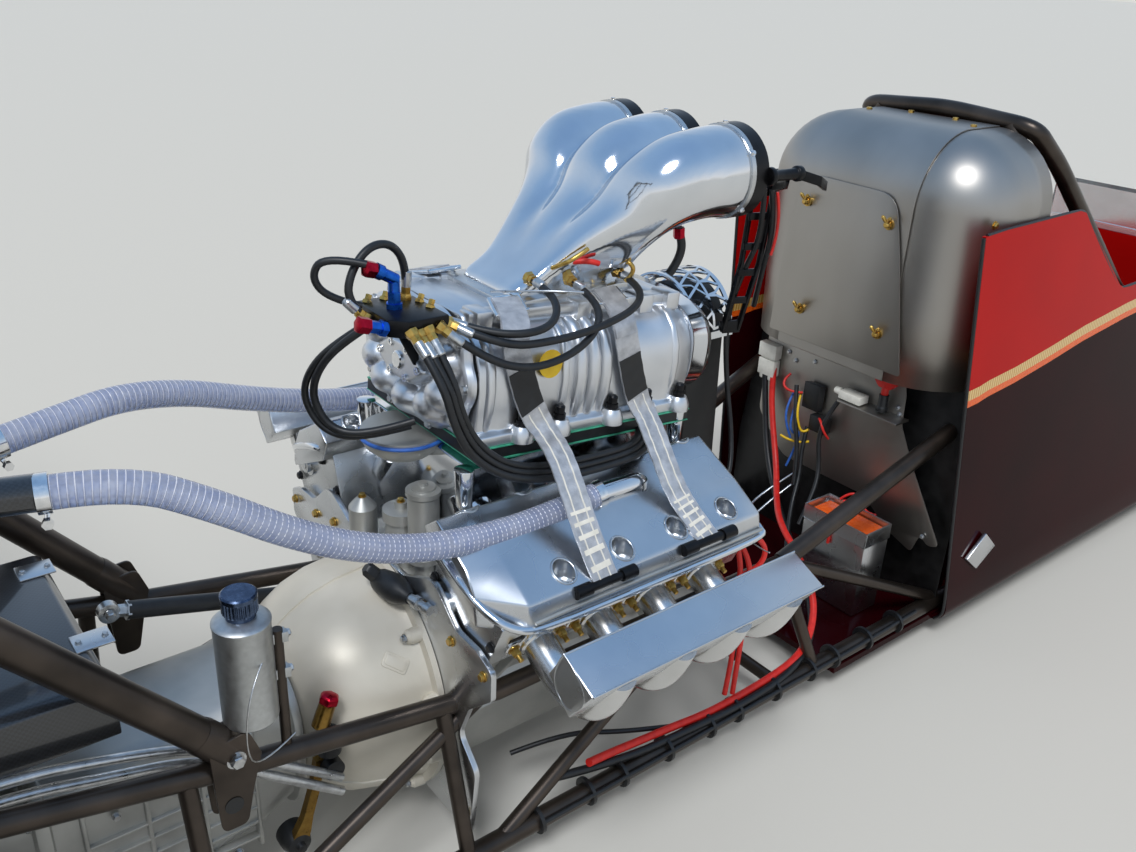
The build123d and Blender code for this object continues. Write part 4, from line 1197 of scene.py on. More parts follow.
shell = bmesh.new()
rings = [shell_ring(0, z, taper) for z, taper in ((640, 10), (800, 4), (950, 0))]
for k in range(13):
    angle = math.pi / 2 * k / 12
    rings.append(shell_ring(SHELL_R * (1 - math.cos(angle)),
                            SHELL_TOP - SHELL_R + SHELL_R * math.sin(angle), 0))
skin(shell, rings, ends=False, around=False)
shell.faces.new(list(shell.verts)[-len(rings[0]):])
shell_piece = place_piece("head_shell_skin", shell, "satin_titanium", ["head_shell"], sharp=60)
modify(shell_piece, "SOLIDIFY", thickness=4 * MM, offset=-1)
apply_modifiers(shell_piece)
shell_piece.data.shade_smooth()

# %% Rolled sheet over the shell
WRAP_HALF = 158.0
wrap = bmesh.new()
profile = [(0, 642), (0, 800), (0, SHELL_TOP - SHELL_R)]
for k in range(1, 15):
    angle = math.pi / 2 * k / 14
    profile.append((SHELL_R * (1 - math.cos(angle)),
                    SHELL_TOP - SHELL_R + SHELL_R * math.sin(angle)))
profile += [(274, SHELL_TOP)]
rings = []
for s, z in profile:
    back, lift = (-3, 3) if z > SHELL_TOP - SHELL_R else (-4, 0)
    across = (-WRAP_HALF, -80, 0, 80, WRAP_HALF)
    rings.append([at(SHELL_REAR + s + back, y, z + lift) for y in across]
                 + [at(SHELL_REAR + s + back + 2, -y, z + lift - 2) for y in across])
skin(wrap, rings)
place_piece("head_shell_wrap", wrap, "satin_titanium", sharp=40)
place_bolts("shell_screws", [(1420, -140, 1196), (1420, 140, 1196), (1474, -60, 1197),
                             (1474, 60, 1197)], UP, 13, "brass")
place_bolts("shell_side_screws", [(1290, -310, 1031), (1470, -320, 800)], -LEFT, 13, "brass")

# %% [markdown]
# Flat panels behind the driver
#
# Flat sheet parts with rounded corners are drawn as 2D outlines. A small helper rounds each
# corner of a polygon by its own radius, and the outline is given a thickness.

# %% Rounded sheet panels
def rounded(corners, steps=6):
    """Outline of a polygon whose corners are (a, b, radius)."""
    outline = []
    for k, (a, b, radius) in enumerate(corners):
        here = Vector((a, b))
        back = (Vector(corners[k - 1][:2]) - here).normalized()
        ahead = (Vector(corners[(k + 1) % len(corners)][:2]) - here).normalized()
        if radius == 0:
            outline.append((a, b))
            continue
        half = back.angle(ahead) / 2
        start, end = here + back * radius / math.tan(half), here + ahead * radius / math.tan(half)
        for j in range(steps + 1):
            t = j / steps
            point = start * (1 - t) ** 2 + here * 2 * t * (1 - t) + end * t * t
            outline.append((point.x, point.y))
    return outline


def sheet_panel(name, corners, place, thick, finish, nodes=(), bevel=0.8):
    """A flat sheet; place(a, b, depth) puts an outline point and a depth in mm in space."""
    outline = rounded(corners)
    shape = bmesh.new()
    skin(shape, [[place(a, b, depth) for a, b in outline] for depth in (0, thick)])
    return place_piece(name, shape, finish, nodes, bevel=bevel)


sheet_panel("back_panel", [(186, 668, 6), (172, 900, 300), (140, 1066, 62), (-116, 1062, 62),
                           (-150, 930, 300), (-205, 668, 6)],
            lambda y, z, depth: at(1219 - depth, y, z), 3, "satin_titanium",
            ["rear_bulkheads"])
sheet_panel("lower_panel", [
    (250, 664, 10), (-166, 664, 22), (-184, 590, 60), (-186, 520, 60), (-230, 440, 60),
    (-346, 262, 12), (-318, 250, 20), (-292, 268, 10), (-276, 214, 10), (-200, 240, 40),
    (-120, 300, 60), (150, 300, 60), (250, 400, 40)],
    lambda y, z, depth: at(1300 - depth, y, z), 2.5, "satin_titanium")
# The firewall is a real sheet, but it is black so that the inside of the body behind the panels
# reads dark: painted shade.
sheet_panel("firewall_painted_shade", [(345, 62, 10), (345, 300, 30), (300, 668, 10), (-300, 668, 10),
                         (-345, 300, 30), (-345, 62, 10)],
            lambda y, z, depth: at(1342 - depth, y, z), 3, "black_steel")

wing_bolts = bmesh.new()
for y, z in ((121, 1002), (-110, 997), (98, 743), (-130, 749)):
    head = at(1216, y, z)
    turn(wing_bolts, head, -FORWARD, [(0, 12), (4, 12), (5, 8), (14, 7), (16, 4)], 24)
    for lean in (-0.5, 0.5):
        turn(wing_bolts, head + Vector((-0.010, 0, 0.002)),
             Vector((-0.35, lean, 0.8)), [(0, 3.2), (10, 4.4), (18, 4.6), (22, 2)], 12)
place_piece("wing_bolts", wing_bolts, "brass")

# %% [markdown]
# Clutch housing and gearbox
#
# The housing behind the motor plate is one large magnesium casting, turned about the crank line,
# with a raised parting line, a small hatch and a bolted flange. The gearbox behind it is a sand
# casting of rounded box sections with ribs, bolted to the housing.

# %% Bell housing
CRANK_HEIGHT = 285
BOLT_CIRCLE = 226
BELL_PROFILE = [(-216, 118), (-214, 138), (-200, 154), (-172, 176), (-132, 197), (-86, 210),
                (-30, 216), (-14, 222), (-12, 238), (-1, 238)]


def bell_radius(s):
    """Radius of the housing at a station."""
    return between(BELL_PROFILE[1:8], s)


def round_crank(s, angle, radius):
    """Point round the crank line; the angle is counted from the top towards the right side."""
    return at(s, -radius * math.sin(angle), CRANK_HEIGHT + radius * math.cos(angle))


def on_bell(s, angle, lift=0.0):
    """Point on the housing at a station and an angle, lifted off it by some mm."""
    return round_crank(s, angle, bell_radius(s) + lift)


shape = bmesh.new()
BELL_REAR = BELL_PROFILE[0][0]
turn(shape, at(BELL_REAR, 0, CRANK_HEIGHT), FORWARD,
     [(s - BELL_REAR, radius) for s, radius in BELL_PROFILE], 96)
for angle in (0.0, 2.1, 4.2):
    rings = []
    for s in range(-205, -15, 12):
        rings.append([on_bell(s, angle + turn_by / bell_radius(s), lift)
                      for turn_by, lift in ((-5, -3), (-3, 3), (3, 3), (5, -3))])
    skin(shape, rings)
for angle in circle_angles(12, 0.5):
    turn(shape, round_crank(-30, angle, BOLT_CIRCLE), FORWARD, [(-6, 8), (0, 13), (20, 15)], 16)
place_piece("bell_casting", shape, "cream_cast", ["bell_housing"], sharp=28)

hatch = bmesh.new()
for grow, low, high in ((0, -2, 2.2), (-4, 0, 3.4)):
    long, wide = 22 + grow, 13 + grow
    outline = rounded([(-long, -wide, 5), (long, -wide, 5), (long, wide, 5), (-long, wide, 5)], 4)
    places = [(-62 + along * 0.75 - across * 0.66, 0.93 + across * 0.0036 + along * 0.0032)
              for along, across in outline]
    skin(hatch, [[on_bell(s, angle, lift) for s, angle in places] for lift in (low, high)])
place_piece("bell_hatch", hatch, "cream_cast", bevel=0.6)
bolts = bmesh.new()
for angle in circle_angles(12, 0.5):
    add_bolt(bolts, round_crank(-37, angle, BOLT_CIRCLE), -FORWARD, 12)
place_piece("bell_bolts", bolts, "steel")
boot, boot_end = bmesh.new(), bmesh.new()
boot_way = Vector((0.16, -0.98, 0.02))
turn(boot, at(-30, -52, 506), boot_way, [
    (0, 12), (3, 17), (12, 21), (30, 24), (52, 25), (72, 20), (86, 13), (92, 11)], 24)
turn(boot, at(-32, -66, 512), Vector((-0.5, 0.2, 0.6)), [(0, 14), (30, 13), (34, 9)], 6)
turn(boot_end, at(-30, -52, 506), boot_way, [
    (90, 9), (104, 9), (104, 12), (116, 12), (116, 8), (130, 8), (132, 11), (144, 9)], 12)
place_piece("release_boot", boot, "black", sharp=40)
place_piece("release_fitting", boot_end, "steel")

# %% Gearbox casting
def rounded_box(half_wide, low, high, radius, s, steps=6):
    """Cross section of a cast case at a station."""
    ring = []
    for side, level, start in ((1, 1, 0), (-1, 1, 1), (-1, -1, 2), (1, -1, 3)):
        centre_y = side * (half_wide - radius)
        centre_z = high - radius if level > 0 else low + radius
        for k in range(steps + 1):
            angle = math.pi / 2 * (start + k / steps)
            ring.append(at(s, centre_y + radius * math.cos(angle),
                           centre_z + radius * math.sin(angle)))
    return ring


CASE_SECTIONS = [
    (-222, 150, 130, 430, 110), (-236, 150, 130, 430, 110), (-238, 138, 142, 418, 100),
    (-290, 124, 120, 392, 60), (-420, 120, 104, 384, 40), (-560, 118, 104, 380, 40),
    (-600, 118, 120, 378, 45), (-603, 128, 112, 388, 50), (-622, 128, 112, 388, 50),
    (-625, 112, 150, 372, 60), (-880, 104, 190, 376, 80), (-898, 90, 200, 366, 80),
]
GEARBOX_WALL = 112
case = bmesh.new()
skin(case, [rounded_box(wide, low, high, radius, s)
            for s, wide, low, high, radius in CASE_SECTIONS])
for side in (-1, 1):
    for level in (128, 160, 192, 224, 256):
        skin(case, [[at(s, side * (GEARBOX_WALL + depth), level + rise) for depth, rise in (
            (0, -4), (14, -2.5), (14, 2.5), (0, 4))] for s in (-560, -400, -300)])
    for s in (-300, -385, -470, -560):
        skin(case, [[at(s + wide, side * (GEARBOX_WALL + depth), z) for wide, depth in (
            (-5, 0), (-3, 15), (3, 15), (5, 0))] for z in (108, 200, 300, 350)])
place_piece("gearbox_casting", case, "sand_cast_alloy", ["transmission"], bevel=1.5)
coupler = bmesh.new()
start, end = at(-895, 0, CRANK_HEIGHT), at(-1050, 0, 450)
turn(coupler, start, end - start, [(0, 62), (24, 62), (26, 44), (205, 44), (208, 60), (240, 60)],
     40)
place_piece("reverser_coupler", coupler, "machined_aluminium")
place_bolts("gearbox_side_bolts", [(s, -127, z) for s in (-342, -428, -515) for z in (118, 300)],
            -LEFT, 11, "steel")
place_bolts("gearbox_flange_bolts", [(-625, side * y, z) for side in (-1, 1)
                                     for y, z in ((112, 170), (119, 250), (112, 330), (60, 381))],
            -FORWARD, 12, "steel")

# %% Motor plate
PLATE_OUTLINE = [(-306, 100, 10), (-322, 250, 30), (-270, 300, 25), (-300, 372, 20),
                 (-364, 432, 12), (-364, 486, 14), (-320, 504, 20), (-262, 506, 30),
                 (-190, 566, 40), (-92, 520, 30)]
PLATE_OUTLINE += [(-y, z, radius) for y, z, radius in reversed(PLATE_OUTLINE)]
sheet_panel("motor_plate_sheet", PLATE_OUTLINE, lambda y, z, depth: at(depth, y, z), 10,
            "brushed_aluminium", ["motor_plate"], bevel=0.8)
place_bolts("motor_plate_bolts", [(-1, side * y, z) for side in (-1, 1) for y, z in (
    (344, 470), (250, 480), (296, 140), (170, 500))], -FORWARD, 13, "brass")

# %% Shift lever and linkage
lever = bmesh.new()
lever_way = Vector((0.36, 0, 0.93))
turn(lever, at(-206, -178, 352), lever_way, [
    (0, 13), (2, 15), (44, 14), (46, 11)], 20)
skin(lever, [[at(s + ds, y, z) for ds, y in ((-w, -184), (w, -184), (w, -170), (-w, -170))]
             for s, z, w in ((-264, 112, 9), (-262, 122, 16), (-252, 150, 15), (-240, 180, 9),
                             (-222, 236, 8), (-212, 290, 7))])
place_piece("gold_levers", lever, "gold")
cap = bmesh.new()
turn(cap, at(-190, -178, 393), lever_way, [
    (0, 14), (2, 17), (12, 17), (16, 14), (18, 9)], 6)
place_piece("lever_cap", cap, "red_metal", bevel=1)
place_lines("gearbox_lines", [
    [(-186, -204, 256), (-262, -204, 318), (-333, -202, 372), (-408, -200, 433),
     (-534, -200, 474), (-651, -200, 503), (-900, -196, 520)],
    [(-187, -206, 228), (-262, -206, 290), (-335, -203, 350), (-410, -201, 412),
     (-539, -200, 444), (-653, -200, 475), (-900, -198, 494)]], 8, "braid")
linkage = bmesh.new()
turn(linkage, at(-196, -186, 300), UP, [(0, 16), (4, 20), (44, 20), (50, 12)], 20)
turn(linkage, at(-196, -204, 274), LEFT, [(0, 18), (30, 18), (34, 12)], 20)
turn(linkage, at(-258, -196, 130), LEFT, [
    (0, 8), (10, 9), (12, 20), (30, 26), (52, 26), (60, 16)], 24)
place_piece("linkage_body", linkage, "black", bevel=0.8)

# %% [markdown]
# Fuel lines
#
# A black block behind the hat shares the fuel out. Ten black hoses leave it in brass and blue
# fittings: some loop over to the nozzles of the hat, some run down the rear cover and forward
# under the blower. The car holds them all the way, so they are rigid lines with wide bends.

# %% Fuel block and hoses
block_shape = bmesh.new()
BLOCK_OUTLINE = [(-34, -126), (-10, -150), (60, -150), (60, -40), (40, -20), (-34, -20)]
slab(block_shape, BLOCK_OUTLINE, (972, 1000))
for y in (-114, -54):
    slab(block_shape, ((8, 972), (60, 972), (60, 886), (50, 886)), (y - 3, y + 3), "y")
place_piece("fuel_block_body", block_shape, "black_anodised", ["fuel_block"], bevel=3)

FUEL_ROUTES = [
    [(40, -50, 1000), (44, -50, 1050), (20, -52, 1092), (-22, -56, 1096), (-58, -62, 1062),
     (-70, -68, 1018), (-40, -74, 985)],
    [(60, -120, 985), (105, -172, 970), (160, -208, 966), (215, -208, 972), (252, -172, 990),
     (262, -116, 1004), (262, -70, 1008)],
    [(60, -140, 984), (116, -206, 953), (220, -212, 946), (320, -212, 954), (405, -202, 972),
     (446, -150, 990), (448, -80, 996)],
    [(40, -150, 985), (92, -196, 935), (172, -212, 906), (258, -214, 918), (318, -204, 952),
     (340, -160, 984), (336, -85, 1000)],
    [(20, -150, 984), (34, -200, 922), (44, -208, 860), (70, -214, 802), (122, -226, 756),
     (200, -232, 736), (300, -232, 728), (392, -228, 724), (450, -180, 722), (470, -120, 722)],
    [(-8, -150, 984), (8, -214, 922), (22, -222, 850), (52, -228, 788), (112, -242, 742),
     (200, -248, 720), (300, -248, 712), (402, -240, 708), (466, -190, 706), (484, -120, 706)],
    [(-40, -90, 985), (-82, -60, 950), (-104, -20, 896), (-104, 2, 840), (-84, -20, 790),
     (-40, -60, 786), (30, -90, 806)],
]
place_lines("fuel_hoses", FUEL_ROUTES, 6.5, "black", steps=4)
SECOND_ROUTES = [
    [(4, -150, 980), (22, -208, 918), (34, -216, 855), (62, -222, 795), (118, -234, 749),
     (200, -240, 728), (300, -240, 720), (396, -234, 716), (456, -186, 714), (476, -120, 714)],
    [(-40, -60, 1004), (-84, -34, 1016), (-108, -30, 1052), (-92, -44, 1086), (-40, -80, 1074)],
    [(-40, -74, 980), (-88, -44, 944), (-112, -4, 890), (-112, 18, 836), (-90, -6, 782),
     (-44, -50, 776), (26, -84, 796)],
]
place_lines("fuel_hoses_second", SECOND_ROUTES, 6, "black", steps=4)

# %% Hose ends, fittings and nozzles
collars, brass, blue, red_caps = bmesh.new(), bmesh.new(), bmesh.new(), bmesh.new()
for route in FUEL_ROUTES[:6] + SECOND_ROUTES[:1]:
    start, ahead = at(*route[0]), at(*route[1])
    turn(brass, start, ahead - start, [(-2, 11), (3, 11), (9, 9)], 6)
    turn(brass, start, ahead - start, [(8, 8), (20, 8.5), (22, 7)], 6)
    turn(collars, start, ahead - start, [(20, 8.2), (44, 8.2), (46, 6.6)], 20)
for route in FUEL_ROUTES[:4]:
    end, behind = at(*route[-1]), at(*route[-2])
    away = behind - end
    turn(collars, end, away, [(26, 8.2), (46, 8.2), (48, 6.6)], 20)
    turn(brass, end, away, [(-4, 6), (12, 6), (12, 9), (20, 9), (20, 7), (28, 7)], 6)
    turn(brass, end, away, [(3, 12), (5, 12), (10, 10), (12, 10)], 6)
for s, y in ((-20, -34), (10, -34), (52, -104), (52, -72)):
    turn(brass, at(s, y, 997), Vector((0.5, 0.3, 0.8)), [(0, 8), (5, 8), (7, 5.5), (15, 5.5)], 6)
for shape, place, way, profile, steps in (
        (blue, (4, -80, 1000), (0, 0, 1), [(0, 14), (8, 14), (9, 11), (26, 11)], 6),
        (blue, (4, -80, 1024), (0, 0, 1), [(0, 9), (22, 9)], 20),
        (blue, (4, -80, 1046), (-0.86, 0, 0.5), [(-4, 9.5), (22, 9.5), (24, 12), (36, 12)], 20),
        (red_caps, (-28, -80, 1064), (-0.96, 0, 0.28),
         [(0, 13), (4, 13.5), (16, 13.5), (18, 9)], 6),
        (blue, (-34, -120, 985), (-0.95, 0, 0.3), [(0, 13), (10, 13), (11, 10), (30, 10)], 6),
        (red_caps, (-62, -120, 994), (-0.95, 0, 0.3), [(0, 13), (18, 13), (20, 9)], 6)):
    turn(shape, at(*place), Vector(way), profile, steps)
place_piece("hose_collars", collars, "steel")
place_piece("brass_fittings", brass, "brass")
place_piece("blue_fittings", blue, "blue")
place_piece("red_fitting_caps", red_caps, "red_metal")
place_lines("nozzle_pipes", [
    [(300, -74, 1016), (300, -104, 1030), (316, -128, 1046), (344, -128, 1060)],
    [(420, -86, 1020), (436, -118, 1030), (448, -140, 1010), (440, -120, 988)],
    [(410, -80, 1046), (418, -110, 1066), (440, -124, 1060), (452, -120, 1030)]], 4, "brass")
place_lines("nozzle_pipe_red", [[(334, -96, 1030), (352, -118, 1038), (372, -126, 1030)]], 5, "red")

# %% Canister and castings on the housing
canister = bmesh.new()
turn(canister, at(61, -60, 455), UP, [
    (0, 17), (60, 17), (62, 30), (72, 30), (74, 20), (112, 20), (114, 27), (120, 28), (190, 28),
    (194, 31), (202, 31), (204, 22), (208, 22), (210, 8), (216, 8)], 32)
turn(canister, at(61, 20, 470), UP, [
    (0, 30), (70, 30), (90, 26), (92, 34), (112, 34), (114, 12), (126, 12)], 32)
turn(canister, at(20, 90, 470), UP, [(0, 26), (96, 26), (104, 20), (116, 9)], 28)
place_piece("valley_fittings", canister, "sand_cast_alloy", sharp=30)
place_bolts("valley_bolts", [(20, 90, 586), (61, 20, 596), (88, -86, 527), (36, -36, 527)],
            UP, 11, "brass")

# %% [markdown]
# Rear bay: bottle, torque strut, deck box and clevises
#
# The overflow bottle is spun aluminium with a fluted steel cap, held to a bare post by two
# tabs. A black strut with rod ends braces the housing against the frame. The wing strut
# ends between two plates welded to the rail.

# %% Overflow bottle
def fluted(shape, start, profile, flutes, depth):
    """Turn a profile about an upright axis, with flutes down its side."""
    rings = []
    for height, radius, share in profile:
        ring = []
        for k, angle in enumerate(circle_angles(flutes * 4)):
            reach = radius - share * depth * (k % 4 >= 2)
            ring.append(start + Vector((reach * math.cos(angle), reach * math.sin(angle),
                                        height)) * MM)
        rings.append(ring)
    skin(shape, rings)


bottle_foot = at(-335, -240, 482)
body = bmesh.new()
turn(body, bottle_foot, UP, [
    (0, 34), (2, 38), (5, 40), (164, 40), (166, 41), (169, 41), (171, 39), (173, 34), (176, 24),
    (177, 17), (186, 17)], 48)
place_piece("bottle_body", body, "satin_alloy", ["overflow_bottle"], sharp=30)
cap = bmesh.new()
fluted(cap, bottle_foot, [(184, 23, 0), (186, 25, 1), (206, 25, 1), (207, 25.5, 0), (213, 25.5, 0),
                          (215, 23, 0)], 28, 1.6)
turn(cap, bottle_foot, UP, [(176, 20), (177, 21), (183, 21), (184, 20)], 32)
place_piece("bottle_cap", cap, "blue_steel", sharp=25)
bands, post = bmesh.new(), bmesh.new()
for height in (58, 120):
    slab(bands, ((-300, -252), (-276, -256), (-276, -240), (-300, -236)),
         (480 + height, 497 + height))
place_piece("bottle_tabs", bands, "satin_alloy", bevel=0.6)
turn(post, at(-289, -248, 396), UP, [(0, 8), (226, 8)], 20)
place_piece("bottle_post", post, "bare_chromoly")
place_bolts("bottle_band_bolts", [(-276, -248, 548), (-276, -248, 610)], FORWARD, 10, "steel")
place_lines("lanyard_wires", [
    [(-300, -256, 612), (-350, -300, 590), (-372, -310, 500), (-350, -285, 420), (-280, -262, 440)],
    [(548, -352, 560), (560, -400, 540), (540, -440, 560)]], 1.2, "steel")

# %% Torque strut
strut_rear, strut_front = at(-424, 150, 472), at(-68, 150, 376)
along = (strut_front - strut_rear).normalized()
length = (strut_front - strut_rear).length / MM
bar, ends = bmesh.new(), bmesh.new()
turn(bar, strut_rear, along, [(28, 10), (30, 16), (length - 52, 16), (length - 50, 10)], 28)
for start, way in ((strut_rear, along), (strut_front, -along)):
    turn(ends, start, way, [(12, 9), (16, 11), (30, 11)], 6)
    turn(ends, start, way, [(28, 17), (34, 17)], 6)
    turn(ends, start - LEFT * 10 * MM, LEFT, [
        (0, 12), (2, 18), (18, 18), (20, 12)], 28)
place_piece("torque_strut_bar", bar, "black", ["torque_strut"])
place_piece("torque_strut_ends", ends, "steel", sharp=30)
for y in (134, 164):
    sheet_panel("torque_bracket_" + str(y), [(-92, 410, 8), (-40, 418, 8), (-8, 400, 4),
                                             (-8, 350, 4), (-52, 350, 8)],
                lambda s, z, depth: at(s, y + depth, z), 4, "brushed_aluminium")
place_bolts("torque_strut_bolts", [(-68, 130, 376), (-424, 138, 472)], -LEFT, 15, "steel")

# %% Clevis plates of the wing struts
STRUT_Y = 250
for flip, side in SIDES:
    for offset in (228, 268):
        sheet_panel("clevis_plate_%s_%d" % (side, offset), [
            (-410, 480, 14), (-352, 486, 14), (-336, 440, 14), (-352, 384, 12), (-366, 322, 14),
            (-404, 322, 14), (-408, 400, 20)],
            lambda s, z, depth: at(s, -flip * (offset + depth), z), 5, "bare_chromoly")
place_bolts("clevis_bolts", [(-374, -273, 447)], -LEFT, 20, "steel")
# A thin black disc on the outer plate stands for the open bolt hole: painted shade.
hole_shade_disc = bmesh.new()
turn(hole_shade_disc, at(-384, -273.4, 366), -LEFT, [(0, 14), (0.8, 14)], 28)
place_piece("clevis_hole_painted_shade", hole_shade_disc, "black")
sleeves = bmesh.new()
for y in (-STRUT_Y, STRUT_Y):
    start = at(-374, y, 447)
    up = (at(-1700, y, 2040) - start).normalized()
    turn(sleeves, start, up, [(-22, 20), (-20, 25), (10, 27), (58, 27), (66, 25.4)], 36)
place_piece("strut_sleeves", sleeves, "bare_chromoly")

# %% Deck box, its plates and the carbon tubes
def chamfered(shape, s0, s1, half_wide, levels):
    """A block across the middle; each level is a height and how far its edges are drawn in."""
    skin(shape, [[at(s, y, z) for s, y in (
        (s0 + cut, cut - half_wide), (s1 - cut, cut - half_wide),
        (s1 - cut, half_wide - cut), (s0 + cut, half_wide - cut))] for z, cut in levels])


deck = bmesh.new()
chamfered(deck, -1035, -500, 200, ((505, 0), (583, 0), (594, 12)))
place_piece("deck_box_shell", deck, "carbon_gloss", ["deck_box"], bevel=3)
PLATE_PLACES = [(-520, 138), (-498, -92), (-960, 138), (-960, -92)]
plates = bmesh.new()
for s, y in PLATE_PLACES:
    brick(plates, (s - 26, s + 26), (y - 22, y + 22), (594, 597))
place_piece("deck_plates", plates, "brushed_aluminium", bevel=1)
place_bolts("deck_screws", [(s + a, y, 597) for s, y in PLATE_PLACES[:2] for a in (-18, 18)],
            UP, 7, "steel")
tank = bmesh.new()
for start, end in (((-540, -195, 893), (-1160, -150, 960)), ((-540, 100, 838), (-1160, 100, 930))):
    way = at(*end) - at(*start)
    turn(tank, at(*start), way, [(0, 20), (0, 23.5), (600, 23.5), (604, 26), (620, 26)], 36)
chamfered(tank, -1330, -1150, 200, ((850, 10), (858, 0), (1000, 0), (1010, 12)))
for side in (-1, 1):
    start, end = at(-1168, side * 185, 862), at(-1168, side * STRUT_Y, 608)
    turn(tank, start, end - start, [(0, 9), (262, 9)], 16)
place_piece("catch_tank", tank, "carbon_gloss", ["breather_tank"], bevel=2, sharp=40)

# %% [markdown]
# Wiring and battery
#
# Red and black battery cables run along the right bottom rail, tied down at short steps, and
# come up to a white plug on the panel behind the driver. The battery stands in a folded
# aluminium box.

# %% Battery box
box = bmesh.new()
brick(box, (1141, 1234), (-249, -66), (68, 276))
place_piece("battery_tray", box, "brushed_aluminium", ["battery_box"], bevel=2)
rim = bmesh.new()
for s_ends, y_ends in (((1139, 1143), (-251, -64)), ((1231, 1235), (-251, -64)),
                       ((1139, 1235), (-251, -247)), ((1139, 1235), (-68, -64))):
    brick(rim, s_ends, y_ends, (262, 300))
place_piece("battery_tray_rim", rim, "brushed_aluminium", bevel=0.8)
cell = bmesh.new()
brick(cell, (1148, 1226), (-240, -74), (270, 288))
place_piece("battery_top", cell, "orange", bevel=4)
place_lines("battery_strap", [[(1136, -150, 230), (1138, -150, 292), (1160, -150, 304),
                               (1215, -150, 304), (1236, -150, 292), (1238, -150, 230)]], 4, "red")

# %% Cables
CABLE_RED = [
    [(246, -330, 150), (300, -318, 132), (380, -318, 122), (470, -322, 116), (560, -330, 112),
     (660, -330, 112), (760, -326, 112), (850, -318, 116), (930, -290, 132), (990, -240, 180),
     (1010, -170, 240), (1060, -60, 260), (1160, 40, 250), (1230, 110, 300), (1262, 170, 400),
     (1276, 200, 480), (1284, 207, 540)],
    [(610, -300, 500), (630, -306, 440), (640, -300, 380), (640, -306, 300), (636, -312, 200),
     (620, -318, 124)],
    [(600, -290, 510), (640, -300, 470), (655, -318, 400), (650, -318, 320), (648, -318, 200),
     (640, -322, 120)],
    [(602, -300, 520), (650, -316, 500), (690, -320, 450), (670, -316, 410), (640, -300, 400)],
]
CABLE_BLACK = [
    [(1284, 239, 540), (1272, 210, 420), (1240, 150, 300), (1190, 60, 226), (1140, -40, 176),
     (1080, -130, 160), (1000, -230, 140), (920, -300, 116), (800, -340, 108), (640, -348, 106),
     (480, -340, 108), (320, -330, 112), (160, -310, 140)],
    [(120, -356, 96), (300, -358, 98), (500, -356, 96), (700, -356, 98), (900, -356, 96),
     (1100, -354, 98), (1250, -350, 100)],
    [(160, -200, 120), (260, -240, 150), (360, -280, 128), (470, -310, 108), (600, -346, 84)],
]
place_lines("battery_cable_red", CABLE_RED[:1], 8, "red", steps=4)
place_lines("ignition_leads_red", CABLE_RED[1:], 5.5, "red", steps=4)
place_lines("battery_cable_black", CABLE_BLACK[:1], 8, "black", steps=4)
place_lines("rail_lines_black", CABLE_BLACK[1:], 5, "black", steps=4)
ties = bmesh.new()
for k in range(11):
    s = 120 + 105 * k + 14 * math.sin(k * 2.1)
    turn(ties, at(s, -335, 88), Vector((1, 0, 0.05)), [(0, 21), (0, 28), (7, 28), (7, 21)], 20)
place_piece("rail_ties", ties, "black")

# %% Panel fittings: plugs, pull handle, relay and thin wires
PANEL_S = 1296
HANDLE_Y = -141
white, red_handle, dark = bmesh.new(), bmesh.new(), bmesh.new()
for low, high, half, deep in ((512, 556, 27, 24), (556, 562, 24, 20), (562, 600, 29, 26)):
    brick(white, (PANEL_S - deep, PANEL_S), (226 - half, 226 + half), (low, high))
for y in (212, 240):
    turn(white, at(1284, y, 500), UP, [(0, 10), (16, 12)], 16)
brick(white, (1250, 1286), (-92, -28), (545, 565))
turn(white, at(1266, -24, 556), LEFT, [(0, 10), (16, 9), (18, 6)], 16)
place_piece("white_plugs", white, "white", bevel=2.5)
turn(red_handle, at(1272, HANDLE_Y, 562), UP, [(26, 9), (52, 9)], 16)
skin(red_handle, [[at(s, HANDLE_Y + y, z) for s, y in (
    (1264, -half), (1280, -half), (1280, half), (1264, half))]
    for z, half in ((606, 14), (612, 22), (622, 30), (632, 30))])
place_piece("pull_handle", red_handle, "red", bevel=2)
turn(dark, at(1272, HANDLE_Y, 548), UP, [(0, 14), (10, 14), (12, 12), (42, 12)], 20)
slab(dark, ((1276, 96), (1292, 88), (1292, 40), (1276, 48)), (470, 540))
brick(dark, (1270, 1296), (10, 60), (420, 462))
place_piece("relay_and_switch", dark, "black", bevel=3)
shelf = bmesh.new()
slab(shelf, ((1246, -202), (1298, -202), (1298, 4), (1246, -30)), (536, 541))
place_piece("fitting_shelf", shelf, "satin_titanium", bevel=1)
place_bolts("panel_screws", [(PANEL_S, y, z) for y, z in (
    (175, 590), (150, 574), (90, 590), (-168, 560), (-176, 545), (-300, 270), (96, 512))],
    -FORWARD, 9, "steel")
